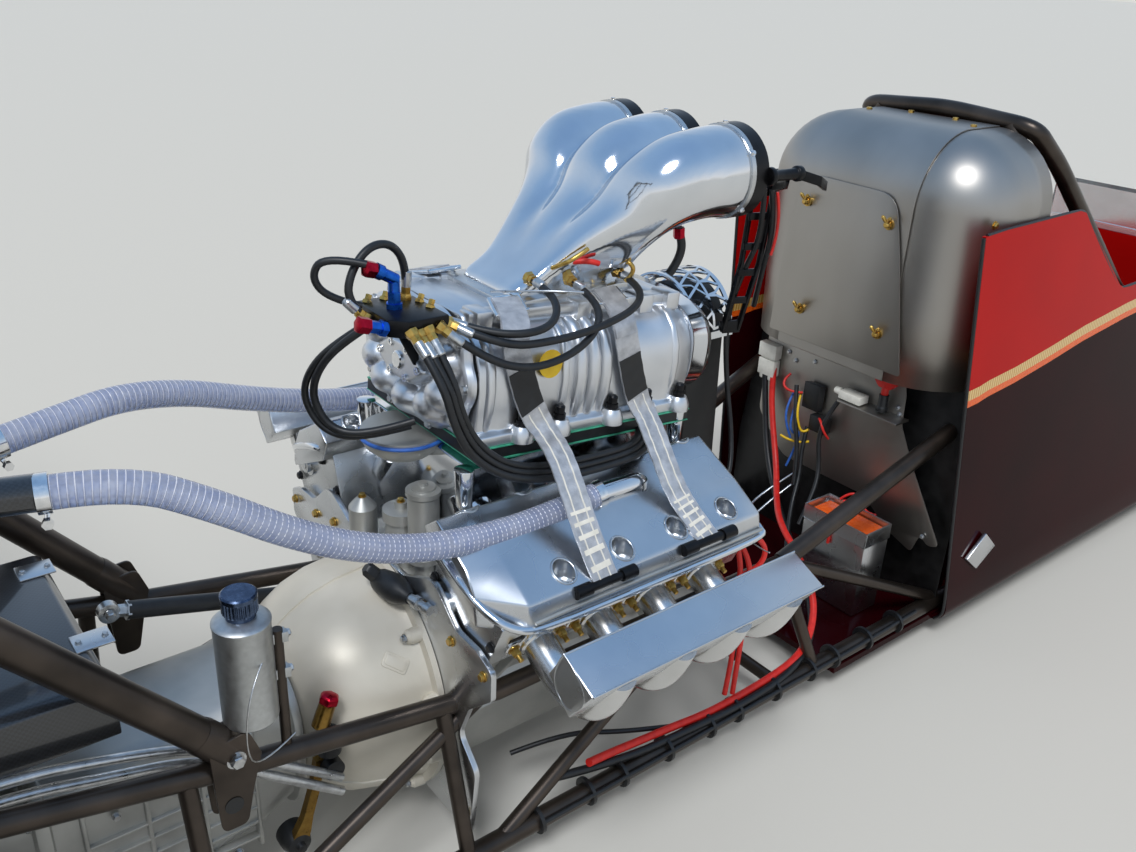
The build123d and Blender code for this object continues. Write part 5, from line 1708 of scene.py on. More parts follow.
WIRES = {
    "blue_wire": [[(1284, 120, 470), (1262, 110, 440), (1254, 104, 410), (1266, 96, 390),
                   (1280, 92, 400), (1270, 88, 360), (1256, 100, 300)],
                  [(1286, 130, 500), (1260, 128, 470), (1250, 120, 420), (1262, 104, 380)]],
    "yellow": [[(1286, 110, 500), (1262, 96, 480), (1252, 84, 440), (1264, 70, 400),
                (1280, 60, 420)], [(1284, 60, 380), (1262, 90, 366), (1252, 130, 380)]],
    "red": [[(1284, 150, 540), (1262, 160, 520), (1260, 130, 500), (1280, 100, 505)],
            [(1270, 30, 460), (1250, 12, 470), (1248, -6, 440), (1268, -8, 420)],
            [(1230, -100, 300), (1248, -120, 330), (1262, -150, 300), (1240, -170, 260),
             (1236, -190, 300)],
            [(1228, -110, 300), (1250, -140, 310), (1256, -170, 280), (1238, -200, 300)]],
    "black": [[(1280, 70, 420), (1256, 60, 360), (1240, 40, 300), (1180, 10, 220),
               (1100, -60, 160)],
              [(1280, -20, 540), (1256, 0, 480), (1250, 10, 420), (1246, -10, 350),
               (1220, -30, 300), (1160, -40, 220)],
              [(1276, 120, 520), (1250, 90, 440), (1244, 60, 360), (1220, 40, 280)]],
    "steel": [[(1240, 60, 300), (1200, 90, 260), (1120, 100, 220), (1040, 60, 190)],
              [(1236, 40, 290), (1180, 70, 240), (1100, 70, 200)]],
}
for colour, routes in WIRES.items():
    place_lines("panel_wires_" + colour, routes, 3.2 if colour != "black" else 6, colour)

# %% [markdown]
# Blower drive
#
# A wide black belt runs from the crank to the blower. Its loop is two arcs joined by straight
# runs, with a small step for each cog on the inside. A polished guard with a lattice of cut-outs
# arches over the upper pulley, and the throttle linkage stands beside it.

# %% Belt and pulleys
UPPER_PULLEY, LOWER_PULLEY = (838, 72), (285, 92)
BELT_S = (656, 749)


def belt_loop(s, grow, cog=0.0):
    """Closed line round both pulleys at a station; cog is the depth of its steps."""
    ring = []
    for (z, radius), start in ((UPPER_PULLEY, 0.0), (LOWER_PULLEY, math.pi)):
        for k in range(41):
            angle = start + math.pi * k / 40
            reach = radius + grow - (cog if k % 4 < 2 else 0)
            ring.append(at(s, reach * math.cos(angle), z + reach * math.sin(angle)))
    return ring


belt = bmesh.new()
skin(belt, [belt_loop(BELT_S[0], 3, 3), belt_loop(BELT_S[0], 8), belt_loop(BELT_S[0] + 2, 9),
            belt_loop(BELT_S[1] - 2, 9), belt_loop(BELT_S[1], 8), belt_loop(BELT_S[1], 3, 3),
            belt_loop(BELT_S[0], 3, 3)], ends=False)
place_piece("blower_belt", belt, "belt_rubber", ["drive_belt"], sharp=30)
pulleys = bmesh.new()
for z, radius in (UPPER_PULLEY, LOWER_PULLEY):
    turn(pulleys, at(650, 0, z), FORWARD, [
        (-20, 34), (4, 34), (4, radius), (100, radius), (104, radius - 2), (104, radius - 16),
        (94, radius - 20), (94, 42), (112, 40), (112, 16), (120, 14)], 64)
    for angle in circle_angles(8):
        add_bolt(pulleys, at(744, 54 * math.cos(angle), z + 54 * math.sin(angle)), FORWARD, 9)
place_piece("belt_pulleys", pulleys, "machined_aluminium", ["drive_pulleys"], sharp=30)

# %% Belt guard
GUARD_R = 101
GUARD_REAR, GUARD_MIDDLE, GUARD_FRONT = 646, 700, 745


def guard_point(s, angle, lift=0.0):
    """A place on the guard; the angle is counted from the right side upwards."""
    reach = GUARD_R + lift
    return at(s, -reach * math.cos(angle), UPPER_PULLEY[0] + reach * math.sin(angle))


def guard_strip(shape, path, half_wide):
    """A flat strip of the guard through (station, angle) points, 4 mm thick."""
    rings = []
    for k, (s, angle) in enumerate(path):
        ahead, behind = path[min(k + 1, len(path) - 1)], path[max(k - 1, 0)]
        way = Vector((ahead[0] - behind[0], (ahead[1] - behind[1]) * GUARD_R)).normalized()
        ds, da = -way.y * half_wide, way.x * half_wide / GUARD_R
        rings.append([guard_point(s - ds, angle - da, -2), guard_point(s + ds, angle + da, -2),
                      guard_point(s + ds, angle + da, 2), guard_point(s - ds, angle - da, 2)])
    skin(shape, rings)


guard = bmesh.new()
for s, half_wide in ((GUARD_REAR, 4), (GUARD_MIDDLE, 3), (GUARD_FRONT, 5)):
    guard_strip(guard, [(s, 0.06 + 3.02 * k / 36) for k in range(37)], half_wide)
for k in range(9):
    a, b = 0.08 + 2.98 * k / 9, 0.08 + 2.98 * (k + 1) / 9
    middle = (a + b) / 2
    guard_strip(guard, [(GUARD_REAR, a), (673, middle), (GUARD_MIDDLE, b)], 2.6)
    guard_strip(guard, [(GUARD_REAR, b), (673, b - 0.05), (GUARD_MIDDLE, a)], 2.2)
    guard_strip(guard, [(GUARD_MIDDLE, a), (722, a + 0.03), (GUARD_FRONT, middle)], 2.6)
    guard_strip(guard, [(GUARD_MIDDLE, b), (722, b - 0.03), (GUARD_FRONT, middle)], 2.6)
for side in (-1, 1):
    brick(guard, (604, 752), (side * 97, side * 105), (826, 841))
place_piece("belt_guard_lattice", guard, "polished_cast")
turned_bar = bmesh.new()
turn(turned_bar, at(748, -106, 838), LEFT, [(0, 7), (212, 7)], 20)
place_piece("guard_bar", turned_bar, "chrome")

# %% Throttle linkage and stand
stand = bmesh.new()
for s0, y0, s1, y1 in ((722, -104, 742, -124), (756, -112, 770, -150)):
    skin(stand, [[at(s + a, y + b, z) for a, b in ((-4, -5), (4, -5), (4, 5), (-4, 5))]
                 for s, y, z in ((s0, y0, 836), ((s0 + s1) / 2, (y0 + y1) / 2 - 10, 980),
                                 (s1, y1, 1132))])
for share, tall in ((0.02, 26), (0.22, 14), (0.42, 14), (0.6, 14), (0.8, 14), (0.98, 30)):
    s, z = 738 + 18 * share, 840 + 290 * share
    y = -108 - 28 * share - 12 * math.sin(math.pi * share)
    slab(stand, ((s - 20, y + 5), (s + 20, y - 9), (s + 20, y - 3), (s - 20, y + 11)),
         (z - tall / 2, z + tall / 2))
turn(stand, at(652, -232, 1172), Vector((1, -0.05, 0)), [
    (0, 16), (10, 16), (12, 10), (66, 10), (68, 14), (80, 14)], 24)
for path in ([(700, -236, 1168), (724, -214, 1150), (742, -172, 1136)],
             [(722, -240, 1172), (760, -258, 1160), (786, -252, 1148)]):
    skin(stand, [[at(s, y + b, z + c) for b, c in ((-5, -9), (5, -9), (5, 9), (-5, 9))]
                 for s, y, z in path])
place_piece("throttle_stand", stand, "black_anodised", bevel=1.5)
place_lines("throttle_cables", [
    [(742, -150, 1128), (750, -152, 1040), (744, -120, 960), (738, -96, 860), (742, -110, 740),
     (738, -150, 620), (700, -190, 540), (640, -200, 500)],
    [(760, -152, 1124), (772, -160, 1060), (776, -140, 960), (800, -110, 880)]], 5.5, "black_steel")
place_lines("throttle_red_line", [[(768, -160, 1120), (778, -172, 1060), (772, -160, 1000)]], 3,
            "red")
place_lines("hat_return_line", [[(560, -96, 1092), (578, -108, 1056), (584, -110, 1010),
                                 (560, -104, 978)]], 8, "black")
ends = bmesh.new()
turn(ends, at(574, -106, 1062), Vector((0.1, 0, -1)), [(-2, 11), (16, 11), (18, 9)], 6)
place_piece("return_line_fitting", ends, "red_metal")
place_lines("strap_cable_ends", [[(196, -60, 990), (240, -150, 1010), (300, -176, 1004)]], 2.2,
            "steel")

# %% [markdown]
# Heads, intake and block
#
# The heads are billet aluminium with a flat, bolted rear face. Between them the intake carries
# the blower on a flared wall, and the block below is a dark casting with ribs and core plugs.

# %% Cylinder heads
HEAD_SECTION = [(-235, 400), (-330, 474), (-372, 566), (-360, 574), (-200, 652), (-150, 490)]
for side, name in SIDES:
    head = bmesh.new()
    slab(head, [(side * y, z) for y, z in HEAD_SECTION], (14, 574), "s")
    for s in PORTS:
        for ds in (-24, 24):
            skin(head, [[at(s + ds + a, side * y, z) for a, (y, z) in zip(
                (-6, -6, 6, 6), ((-325, 468), (-372, 560), (-372, 560), (-325, 468)))],
                [at(s + ds + a, side * (y - 9), z) for a, (y, z) in zip(
                    (-4, -4, 4, 4), ((-325, 474), (-368, 556), (-368, 556), (-325, 474)))]])
    place_piece("head_casting_" + name, head, "machined_aluminium",
                ["cylinder_heads"], bevel=2)
    caps = bmesh.new()
    turn(caps, at(14, side * -300, 566), -FORWARD, [
        (0, 24), (4, 24), (5, 17), (12, 17), (13, 9), (14, 9)], 32)
    turn(caps, at(14, side * -208, 520), -FORWARD, [(0, 26), (5, 26), (6, 22), (9, 22)], 32)
    place_piece("head_end_caps_" + name, caps, "machined_aluminium", sharp=30)
    place_bolts("head_end_bolts_" + name, [(13, side * y, z) for y, z in (
        (-300, 566), (-268, 470), (-344, 520), (-236, 600), (-178, 560), (-246, 430))],
        -FORWARD, 13, "black_steel")

# %% Intake manifold
INTAKE = [(-60, 470), (-150, 490), (-168, 560), (-150, 640), (-150, 700), (-178, 738)]
intake = bmesh.new()
ring_of = [*INTAKE, *[(-y, z) for y, z in reversed(INTAKE)]]
skin(intake, [[at(s + tip * (z - 470) * 0.06, y * share, z) for y, z in ring_of]
              for s, tip, share in ((98, -1, 0.96), (104, -1, 1), (552, 0, 1), (560, 0, 0.97))])
for side in (-1, 1):
    for s in PORTS:
        start = at(s + 20, side * 120, 640)
        turn(intake, start, Vector((0, side * 0.62, -0.78)), [(-20, 40), (20, 38), (80, 34)], 24)
for s, side in ((75, -1), (75, 1), (548, -1), (548, 1)):
    turn(intake, at(s, side * 168, 700), UP, [(-30, 14), (40, 18)], 20)
place_piece("intake_casting", intake, "polished_cast", ["intake_manifold"], bevel=3, sharp=40)
bowl = bmesh.new()
turn(bowl, at(58, 0, 742), -UP, [(-10, 74), (0, 74), (16, 68), (34, 48), (44, 22)],
     40)
place_piece("rear_bowl", bowl, "sand_cast_alloy")
place_lines("blue_gasket_ring", [[(58 + 76 * math.cos(a), 76 * math.sin(a), 744)
                                  for a in [*circle_angles(16), 2 * math.pi]]], 3.5, "blue_wire")

# %% Block and sump
BLOCK = [(-130, 102), (-150, 210), (-120, 250), (-206, 372), (-235, 400), (-150, 490), (-60, 470)]
engine = bmesh.new()
block_ring = [*BLOCK, *[(-y, z) for y, z in reversed(BLOCK)]]
slab(engine, block_ring, (12, 554), "s")
for side in (-1, 1):
    for s in (24, 161, 283, 405, 540):
        skin(engine, [[at(s + a, side * y, z) for a, (y, z) in zip(
            (-6, -6, 6, 6), (low, high, high, low))] for low, high in (
                ((118, 252), (196, 372)), ((136, 246), (216, 360)))])
    for s in (100, 222, 344, 466):
        turn(engine, at(s, side * 156, 316), Vector((0, side * 0.82, -0.57)),
             [(-6, 24), (5, 24), (6, 20), (2, 18)], 28)
turn(engine, at(550, 0, 305), FORWARD, [(0, 135), (34, 135), (44, 126), (48, 60),
                                                  (100, 58), (104, 54)], 64)
place_piece("block_casting", engine, "sand_cast_alloy", ["engine_block"], bevel=3, sharp=40)
place_bolts("pan_bolts", [(s, -142, 208) for s in range(40, 540, 62)], -LEFT, 9, "steel")

# %% [markdown]
# Wheels
#
# The slicks are wide, soft and smooth, with a rounded shoulder and fine wrinkles in the side
# wall. Each tyre is one profile turned about the axle. The rims are spun aluminium with a ring of
# bead bolts, and the narrow front wheels have five spokes.

# %% Rear slicks
REAR_S, REAR_Y, REAR_Z = -1300, 620, 450
FRONT_S, FRONT_Y, FRONT_Z = 5700, 520, 280
SLICK = [(-186, 206), (-196, 214), (-205, 232), (-211, 270), (-214, 320), (-214, 362),
         (-210, 396), (-203, 420), (-192, 437), (-176, 447), (-150, 449.5), (-70, 450)]


def tyre_shape(shape, centre, profile, steps=96, wrinkle=0.0):
    """A tyre turned about the axle through its centre; the profile is one half of (y, radius)."""
    full = profile + [(-y, radius) for y, radius in reversed(profile)]
    rings = []
    for angle in circle_angles(steps):
        ring = []
        for y, radius in full:
            fold = wrinkle * math.sin(angle * 24 + radius * 0.05) * (240 < radius < 400)
            ring.append(centre + Vector((radius * math.cos(angle), y + math.copysign(fold, y),
                                         radius * math.sin(angle))) * MM)
        rings.append(ring)
    skin(shape, rings + [rings[0]], ends=False)


slicks = bmesh.new()
for side in (-1, 1):
    tyre_shape(slicks, at(REAR_S, side * REAR_Y, REAR_Z), SLICK, 120, 0.9)
place_piece("slicks", slicks, "slick_rubber", ["rear_slicks"], "rear_wheels", sharp=40)
lines = bmesh.new()
for side in (-1, 1):
    for y in (-202, 202):
        turn(lines, at(REAR_S, side * REAR_Y + y - 4, REAR_Z), LEFT,
             [(0, 300), (0, 303), (8, 303), (8, 300)], 96, hollow=True)
place_piece("slick_mould_lines", lines, "slick_rubber", body="rear_wheels")

# %% Rear rims and shaft
def spoke(angle):
    """Unit vector square to the axles at an angle."""
    return Vector((math.cos(angle), 0, math.sin(angle)))


rims, rim_bolts = bmesh.new(), bmesh.new()
for side in (-1, 1):
    centre = at(REAR_S, side * REAR_Y, REAR_Z)
    out = side * LEFT
    turn(rims, centre, out, [
        (40, 22), (72, 22), (72, 58), (66, 66), (92, 150), (100, 164), (90, 190), (160, 190),
        (172, 196), (184, 200), (186, 204), (176, 205), (-182, 205), (-186, 200), (-176, 192),
        (60, 186), (84, 158), (48, 70), (40, 60)], 72, hollow=True)
    turn(rims, centre, out, [
        (174, 180), (174, 204), (188, 204), (190, 196), (190, 184), (186, 180)], 72, hollow=True)
    for angle in circle_angles(24):
        add_bolt(rim_bolts, centre + (spoke(angle) * 190 + out * 190) * MM, out, 9)
    for angle in circle_angles(5):
        turn(rim_bolts, centre + (spoke(angle) * 43 + out * 72) * MM, out,
             [(0, 12), (14, 12), (15, 8), (30, 8), (32, 6)], 6)
    turn(rims, centre, out, [(60, 26), (92, 26), (98, 20), (98, 6)], 40)
    turn(rims, at(REAR_S, side * 365 - 11, REAR_Z), LEFT,
         [(0, 60), (0, 139), (1.5, 140), (20.5, 140), (22, 139), (22, 60)], 72, hollow=True)
turn(rims, at(REAR_S, -658, REAR_Z), LEFT, [(0, 20), (1316, 20)], 32)
place_piece("rear_rims_spun", rims, "polished_cast", ["rear_rims"], "rear_wheels", sharp=30)
place_piece("rear_rim_bolts", rim_bolts, "steel", body="rear_wheels")

# %% Front wheels
FRONT_TYRE = [(-33, 202), (-38, 208), (-42, 226), (-44, 246), (-40, 264), (-30, 275), (-24, 278),
              (-22, 279.6), (-16, 280), (-14, 277), (-11, 277), (-9, 280), (-4, 280), (-2, 277)]
for side, name in HANDS:
    body = "front_wheel_" + name
    centre = at(FRONT_S, side * FRONT_Y, FRONT_Z)
    tyre = bmesh.new()
    tyre_shape(tyre, centre, FRONT_TYRE, 80)
    place_piece("front_tyre_shape_" + name, tyre, "slick_rubber", ["front_tyre_" + name], body,
                sharp=40)
    rim, studs = bmesh.new(), bmesh.new()
    out = side * LEFT
    turn(rim, centre, out, [(-36, 188), (-38, 200), (-33, 202), (33, 202), (38, 200), (36, 188),
                            (26, 184), (18, 178), (-18, 178), (-26, 184)], 72, hollow=True)
    turn(rim, centre, out, [(-49, 13), (-49, 34), (10, 36), (20, 42), (26, 40), (34, 30), (34, 13)],
         48)
    for angle in circle_angles(5, 0.5):
        ray, cross = spoke(angle), spoke(angle + math.pi / 2)
        rings = []
        for reach, half, low, high in ((30, 20, 2, 22), (70, 13, 4, 20), (120, 10, 6, 18),
                                       (160, 13, 2, 18), (184, 22, -6, 20)):
            rings.append([centre + (ray * reach + cross * a + out * b) * MM for a, b in (
                (-half, low), (half, low), (half * 0.6, high), (-half * 0.6, high))])
        skin(rim, rings)
        add_bolt(studs, centre + (ray * 24 + out * 34) * MM, out, 9)
    place_piece("front_rim_shape_" + name, rim, "polished_cast", ["front_rim_" + name], body,
                bevel=1.5, sharp=35)
    turn(studs, centre + out * 30 * MM, out, [(0, 14), (14, 14), (18, 10)], 24)
    place_piece("front_rim_bolts_" + name, studs, "steel", body=body)

# %% [markdown]
# Nose
#
# The nose is a long wedge. It carries on the stripes of the sides, so it is lofted from rings
# whose rows follow them, and each band of faces gets its own paint. Panel joints are thin dark
# lines, and quarter-turn fasteners hold the panels.

# %% Painted nose
NOSE = [(2551, 50, 800, 380, 285), (3700, 50, 620, 300, 200), (5850, 60, 340, 160, 90),
        (6400, 90, 170, 60, 40)]
NOSE_STRIPE = [(2551, 720), (3700, 560), (5850, 300), (6400, 152)]
CORNER = 36.0


def nose_values(s):
    """Bottom, top and half widths of the nose at a station."""
    return [between([(row[0], row[k]) for row in NOSE], s) for k in (1, 2, 3, 4)]


def nose_rows(s):
    """Right half of the section from the middle of the floor to the middle of the top."""
    low, high, wide_low, wide_high = nose_values(s)
    stripe = between(NOSE_STRIPE, s)
    tall = high - low
    radius = min(CORNER, wide_high * 0.7, tall * 0.4)

    def wall(z):
        return wide_low + (wide_high - wide_low) * (z - low) / tall

    quarter = [math.pi / 2 * k / 5 for k in range(6)]
    rows = [(0, low), (-wall(low) + radius, low)]
    rows += [(-wall(low + radius) + radius * (1 - math.sin(angle)),
              low + radius * (1 - math.cos(angle))) for angle in quarter[1:]]
    band = min(24, (high - radius - stripe) * 0.6)
    rows += [(-wall(z), z) for z in (stripe, stripe + band * 0.4, stripe + band)]
    rows += [(-wall(high - radius) + radius * (1 - math.cos(angle)),
              high - radius * (1 - math.sin(angle))) for angle in quarter]
    rows += [(0, high)]
    return rows


nose = bmesh.new()
NOSE_STATIONS = [2551, 2800, 3100, 3400, 3700, 4100, 4600, 5100, 5500, 5850, 6100, 6300, 6392,
                 6400]
rings = []
for s in NOSE_STATIONS:
    shrink = 0.985 if s == NOSE_STATIONS[-1] else 1.0
    half = [(y * shrink, z) for y, z in nose_rows(s)]
    rings.append([at(s, y, z) for y, z in half + [(-y, z) for y, z in half[-2:0:-1]]])
skin(nose, rings)
nose_piece = place_piece("nose_panels", nose, "red_gloss", ["nose_body"], sharp=50)
for paint in ("gold_stripe", "orange", "maroon_gloss"):
    nose_piece.data.materials.append(finish_of(paint))
half_bands = [3] * 7 + [2, 1] + [0] * 7
bands = half_bands + half_bands[::-1]
for face in nose_piece.data.polygons:
    if len(face.vertices) == 4:
        face.material_index = bands[face.index % len(bands)]
nose_piece.data.shade_smooth()
joints = []
for s in (2560, 3720, 4620):
    rows = nose_rows(s)[1:-1]
    joints.append([(s, y - 0.4, z) for y, z in rows] + [(s, 0.4 - y, z) for y, z in rows[::-1]])
place_lines("nose_panel_joints", joints, 1.6, "black")
fasteners = bmesh.new()
for s in (2600, 2900, 3200, 3500, 3660, 3780, 4100, 4400, 4560, 4680):
    y, z = nose_rows(s)[-7]
    for side in (-1, 1):
        turn(fasteners, at(s, side * (y + 3), z - 14), Vector((0, -side, 0.2)),
             [(-2, 9), (0.6, 9), (1.4, 7), (1.4, 0)], 16)
place_piece("nose_fasteners", fasteners, "steel")
tow = bmesh.new()
brick(tow, (6360, 6410), (-6, 6), (112, 148))
turn(tow, at(6420, -6, 130), LEFT, [(0, 10.2), (0, 19), (1, 20), (11, 20), (12, 19), (12, 10.2),
                                    (0, 10.2)], 32)
place_piece("tow_eye_ring", tow, "black_steel")
column = bmesh.new()
start = at(2452, 0, 603.8)
turn(column, start, Vector((340, 0, -40)), [(0, 13), (0, 22), (120, 22)], 28)
place_piece("column_bush", column, "machined_aluminium")

# %% [markdown]
# Wings
#
# Each wing is a lofted blade with a rounded leading edge and a sharp trailing edge, in clear
# coated carbon cloth, between flat end plates. A small lip runs along the rear edge of the flap.

# %% Rear wing
def blade_section(nose, tail, low, high, steps=14):
    """Outline of a blade between its nose and tail, bulged to a lowest and a highest height."""
    (x0, z0), (x1, z1) = nose, tail
    ring = []
    for k in (*range(steps + 1), *range(1 - steps, 0)):
        t = (1 - math.cos(math.pi * k / steps)) / 2
        bulge = (high if k >= 0 else -low) * math.sqrt(t) * (1 - t) * 2.6
        ring.append((x0 + (x1 - x0) * t, z0 + (z1 - z0) * t + bulge))
    return ring


WING_NOSE = (-1640, 2060)
WING_HALF = 750


def on_wing(x, y, z):
    """Place (s, y, z) of a point counted from the middle of the wing's leading edge."""
    return WING_NOSE[0] + x, y, WING_NOSE[1] + z


BLADES = [((0, 0), (-380, 30), 50, -4), ((-352, 42), (-518, 152), 20, -2)]
wing = bmesh.new()
for nose_at, tail_at, low, high in BLADES:
    outline = blade_section(nose_at, tail_at, low, high)
    skin(wing, [[at(*on_wing(x, y, z)) for x, z in outline]
                for y in (-WING_HALF, -WING_HALF / 2, 0, WING_HALF / 2, WING_HALF)])
place_piece("rear_wing_blades", wing, "carbon_gloss", ["rear_wing"], sharp=40)
for side, name in HANDS:
    sheet_panel("wing_end_plate_" + name, [(30, -110, 30), (30, 90, 60), (-540, 200, 40),
                                           (-540, -110, 60)],
                lambda x, z, depth: at(*on_wing(x, side * (WING_HALF + depth), z)), 5,
                "carbon_gloss")
brackets = bmesh.new()
for side in (-1, 1):
    for x, low, high in ((-60, -74, -36), (-330, -54, 8)):
        for edge in (-20, 16):
            skin(brackets, [[at(*on_wing(x + a, side * STRUT_Y + y, z)) for a, z in (
                (-22, low), (22, low), (30, high), (-30, high))] for y in (edge, edge + 4)])
place_piece("wing_brackets", brackets, "bare_chromoly", bevel=1)
place_bolts("wing_bracket_bolts", [on_wing(-62, -270, -58), on_wing(-332, -270, -38)],
            -LEFT, 11, "steel")
place_bolts("end_plate_bolts", [on_wing(x, side * (WING_HALF + 5), z) for side in (-1, 1)
                                for x, z in ((-30, -6), (-340, 24), (-380, 60), (-500, 136))],
            LEFT, 12, "steel")
place_lines("wing_lip", [[(WING_NOSE[0] - 517, y, 2208) for y in (-748, 0, 748)]], 3.5,
            "carbon_gloss")

# %% Front wing
FRONT_WING_HALF = 428
wing = bmesh.new()
section = blade_section((6340, 132), (6066, 146), 16, 16)
slab(wing, section, (-FRONT_WING_HALF, -200, 0, 200, FRONT_WING_HALF), "y")
place_piece("front_wing_blade", wing, "carbon_gloss", ["front_wing"], sharp=40)
for side, name in HANDS:
    sheet_panel("front_end_plate_" + name, [(6030, 95, 20), (6030, 215, 30), (6330, 215, 40),
                                            (6370, 95, 20)],
                lambda s, z, depth: at(s, side * (FRONT_WING_HALF + depth), z), 5,
                "carbon_gloss")

# %% [markdown]
# Rear end
#
# Two parachute packs lie on a shelf behind the axle, and a long light wheelie bar ends in two
# small wheels. The packs are sewn nylon bags, stuffed tight. A cloth simulation with air pressure
# inside swells each bag between the seams and straps that hold it back.

# %% Wheelie wheels and axle parts
WHEELIE_S, WHEELIE_Z = -3000, 125
wheels = bmesh.new()
WHEELIE_TYRE = [(-24, 44), (-25, 60), (-24, 68), (-18, 74), (-6, 75)]
for y in (-95, 95):
    tyre_shape(wheels, at(WHEELIE_S, y, WHEELIE_Z), WHEELIE_TYRE, 56)
    turn(wheels, at(WHEELIE_S, y - 20, WHEELIE_Z), LEFT, [
        (2, 9), (0, 16), (0, 22), (14, 26), (14, 38), (0, 42), (0, 46), (40, 46), (40, 42),
        (26, 38), (26, 26), (40, 22), (40, 16), (38, 9)], 40, hollow=True)
turn(wheels, at(WHEELIE_S, -120, WHEELIE_Z), LEFT, [(0, 9), (0, 18), (240, 18), (240, 9)], 28)
place_piece("wheelie_wheel_set", wheels, "belt_rubber", ["wheelie_wheels"], "wheelie_wheels")
caliper = bmesh.new()
for side in (-1, 1):
    for low, high in ((326, 353), (377, 404)):
        slab(caliper, ((-1472, 402), (-1472, 498), (-1444, 510), (-1408, 506), (-1408, 394),
                       (-1444, 390)), (side * low, side * high), "y")
    brick(caliper, (-1474, -1448), (side * 262, side * 404), (400, 500))
place_piece("caliper_halves", caliper, "machined_aluminium", ["brake_calipers"], bevel=3)

# %% Swelling under pressure
def puff(piece, voxel_mm, most):
    """Swell a closed piece as cloth; most(place) gives how far a point may move, in mm."""
    modify(piece, "REMESH", mode="VOXEL", voxel_size=voxel_mm * MM)
    apply_modifiers(piece)
    before = [vertex.co.copy() for vertex in piece.data.vertices]
    cloth = piece.modifiers.new("stuffing", "CLOTH")
    cloth.settings.use_pressure = True
    cloth.settings.uniform_pressure_force = 4.0
    cloth.settings.effector_weights.gravity = 0.0
    for step in range(1, 21):
        bpy.context.scene.frame_set(step)
    apply_modifiers(piece)
    for vertex, start in zip(piece.data.vertices, before):
        move = vertex.co - start
        limit = most(start) * MM
        if move.length > limit:
            vertex.co = start + move.normalized() * limit
    bpy.context.scene.frame_set(1)
    modify(piece, "SUBSURF", levels=1)
    apply_modifiers(piece)
    piece.data.shade_smooth()
    print(piece.name, "has", len(piece.data.polygons), "faces after swelling")


# %% Parachute packs
PACK_STRAPS = (-1990, -1810)
PACK_SEAMS = (-2070, -1730)
PACK_Y, PACK_Z = 105, 776


def pack_swell(place):
    """A pack swells 9 mm, but not under its straps or at its seams."""
    s = (place.x - PLATE_X) / MM
    held = min(min(abs(s - a) - 22 for a in PACK_STRAPS), min(abs(s - a) for a in PACK_SEAMS))
    return 9 * min(1, max(0, held) / 30) + 0.5


def pack_point(side, angle, half_wide, half_tall):
    """(y, z) on a pack's rounded section at an angle."""
    across, up = squarish(angle, 0.42, 0.5)
    return side * PACK_Y + across * half_wide, PACK_Z + up * half_tall


for side, name in HANDS:
    pack = bmesh.new()
    rings = []
    for s, pull in ((-2078, 18), (-2074, 9), (-2060, 4), (-1980, 3), (-1900, 3), (-1820, 3),
                    (-1740, 4), (-1726, 9), (-1722, 18)):
        rings.append([at(s, *pack_point(side, angle, 84 - pull, 82 - pull))
                      for angle in circle_angles(24)])
    skin(pack, rings)
    bag = place_piece("chute_pack_" + name, pack, "pack_nylon", ["parachute_packs"], sharp=60)
    puff(bag, 8, pack_swell)
    piping = []
    turned = [2 * math.pi * k / 32 for k in range(33)]
    for s in PACK_SEAMS:
        piping.append([(s, *pack_point(side, angle, 83, 82)) for angle in turned])
    place_lines("chute_piping_" + name, piping, 3.5, "black")
    bands = bmesh.new()
    for s in PACK_STRAPS:
        rings = []
        for angle in turned:
            y, z = pack_point(side, angle, 84, 82)
            out_y, out_z = y + 2 * math.cos(angle), z + 2 * math.sin(angle)
            rings.append([at(s - 22, y, z), at(s + 22, y, z),
                          at(s + 22, out_y, out_z), at(s - 22, out_y, out_z)])
        skin(bands, rings, ends=False)
    place_piece("chute_straps_" + name, bands, "black", sharp=60)

# %% [markdown]
# Cockpit
#
# The seat is a deep bucket with padded panels, and the driver holds a butterfly wheel. A shoulder
# harness hangs over the seat back.

# %% Seat
seat_side = [(1524, 616), (1556, 616), (1590, 500), (1640, 300), (1690, 176), (1760, 150),
             (2040, 134), (2062, 190), (2084, 196), (2078, 70), (1602, 70)]
seat = bmesh.new()
slab(seat, seat_side, (-186, -120, 0, 120, 186), "y")
place_piece("seat_bucket", seat, "seat_cloth", ["seat"], bevel=12, sharp=40)
panels = bmesh.new()
for low, high in ((0.06, 0.3), (0.34, 0.58), (0.62, 0.86)):
    for y0, y1 in ((-172, -62), (-54, 54), (62, 172)):
        rings = []
        for k in range(7):
            share = low + (high - low) * k / 6
            s, z = 1562 + 146 * share, 600 - 430 * share
            swell = 16 * math.sin(math.pi * (0.08 + 0.84 * k / 6))
            rings.append([at(s + (swell * math.sin(math.pi * (0.06 + 0.88 * j / 8)) - 4) * 0.94,
                             y0 + (y1 - y0) * j / 8,
                             z + swell * 0.3 * math.sin(math.pi * j / 8)) for j in range(9)]
                         + [at(s - 12, y1, z - 4), at(s - 12, y0, z - 4)])
        skin(panels, rings)
pads = place_piece("seat_pads", panels, "seat_cloth", sharp=60)
puff(pads, 6, lambda place: 9)
harness = bmesh.new()
for y in (-70, 70):
    rings = []
    for s, z in ((1540, 626), (1566, 622), (1586, 590), (1640, 430), (1700, 250), (1740, 180)):
        rings.append([at(s + 8, y - 24, z + 4), at(s + 8, y + 24, z + 4),
                      at(s + 11, y + 24, z + 5), at(s + 11, y - 24, z + 5)])
    skin(harness, rings)
place_piece("shoulder_harness", harness, "red", sharp=60)

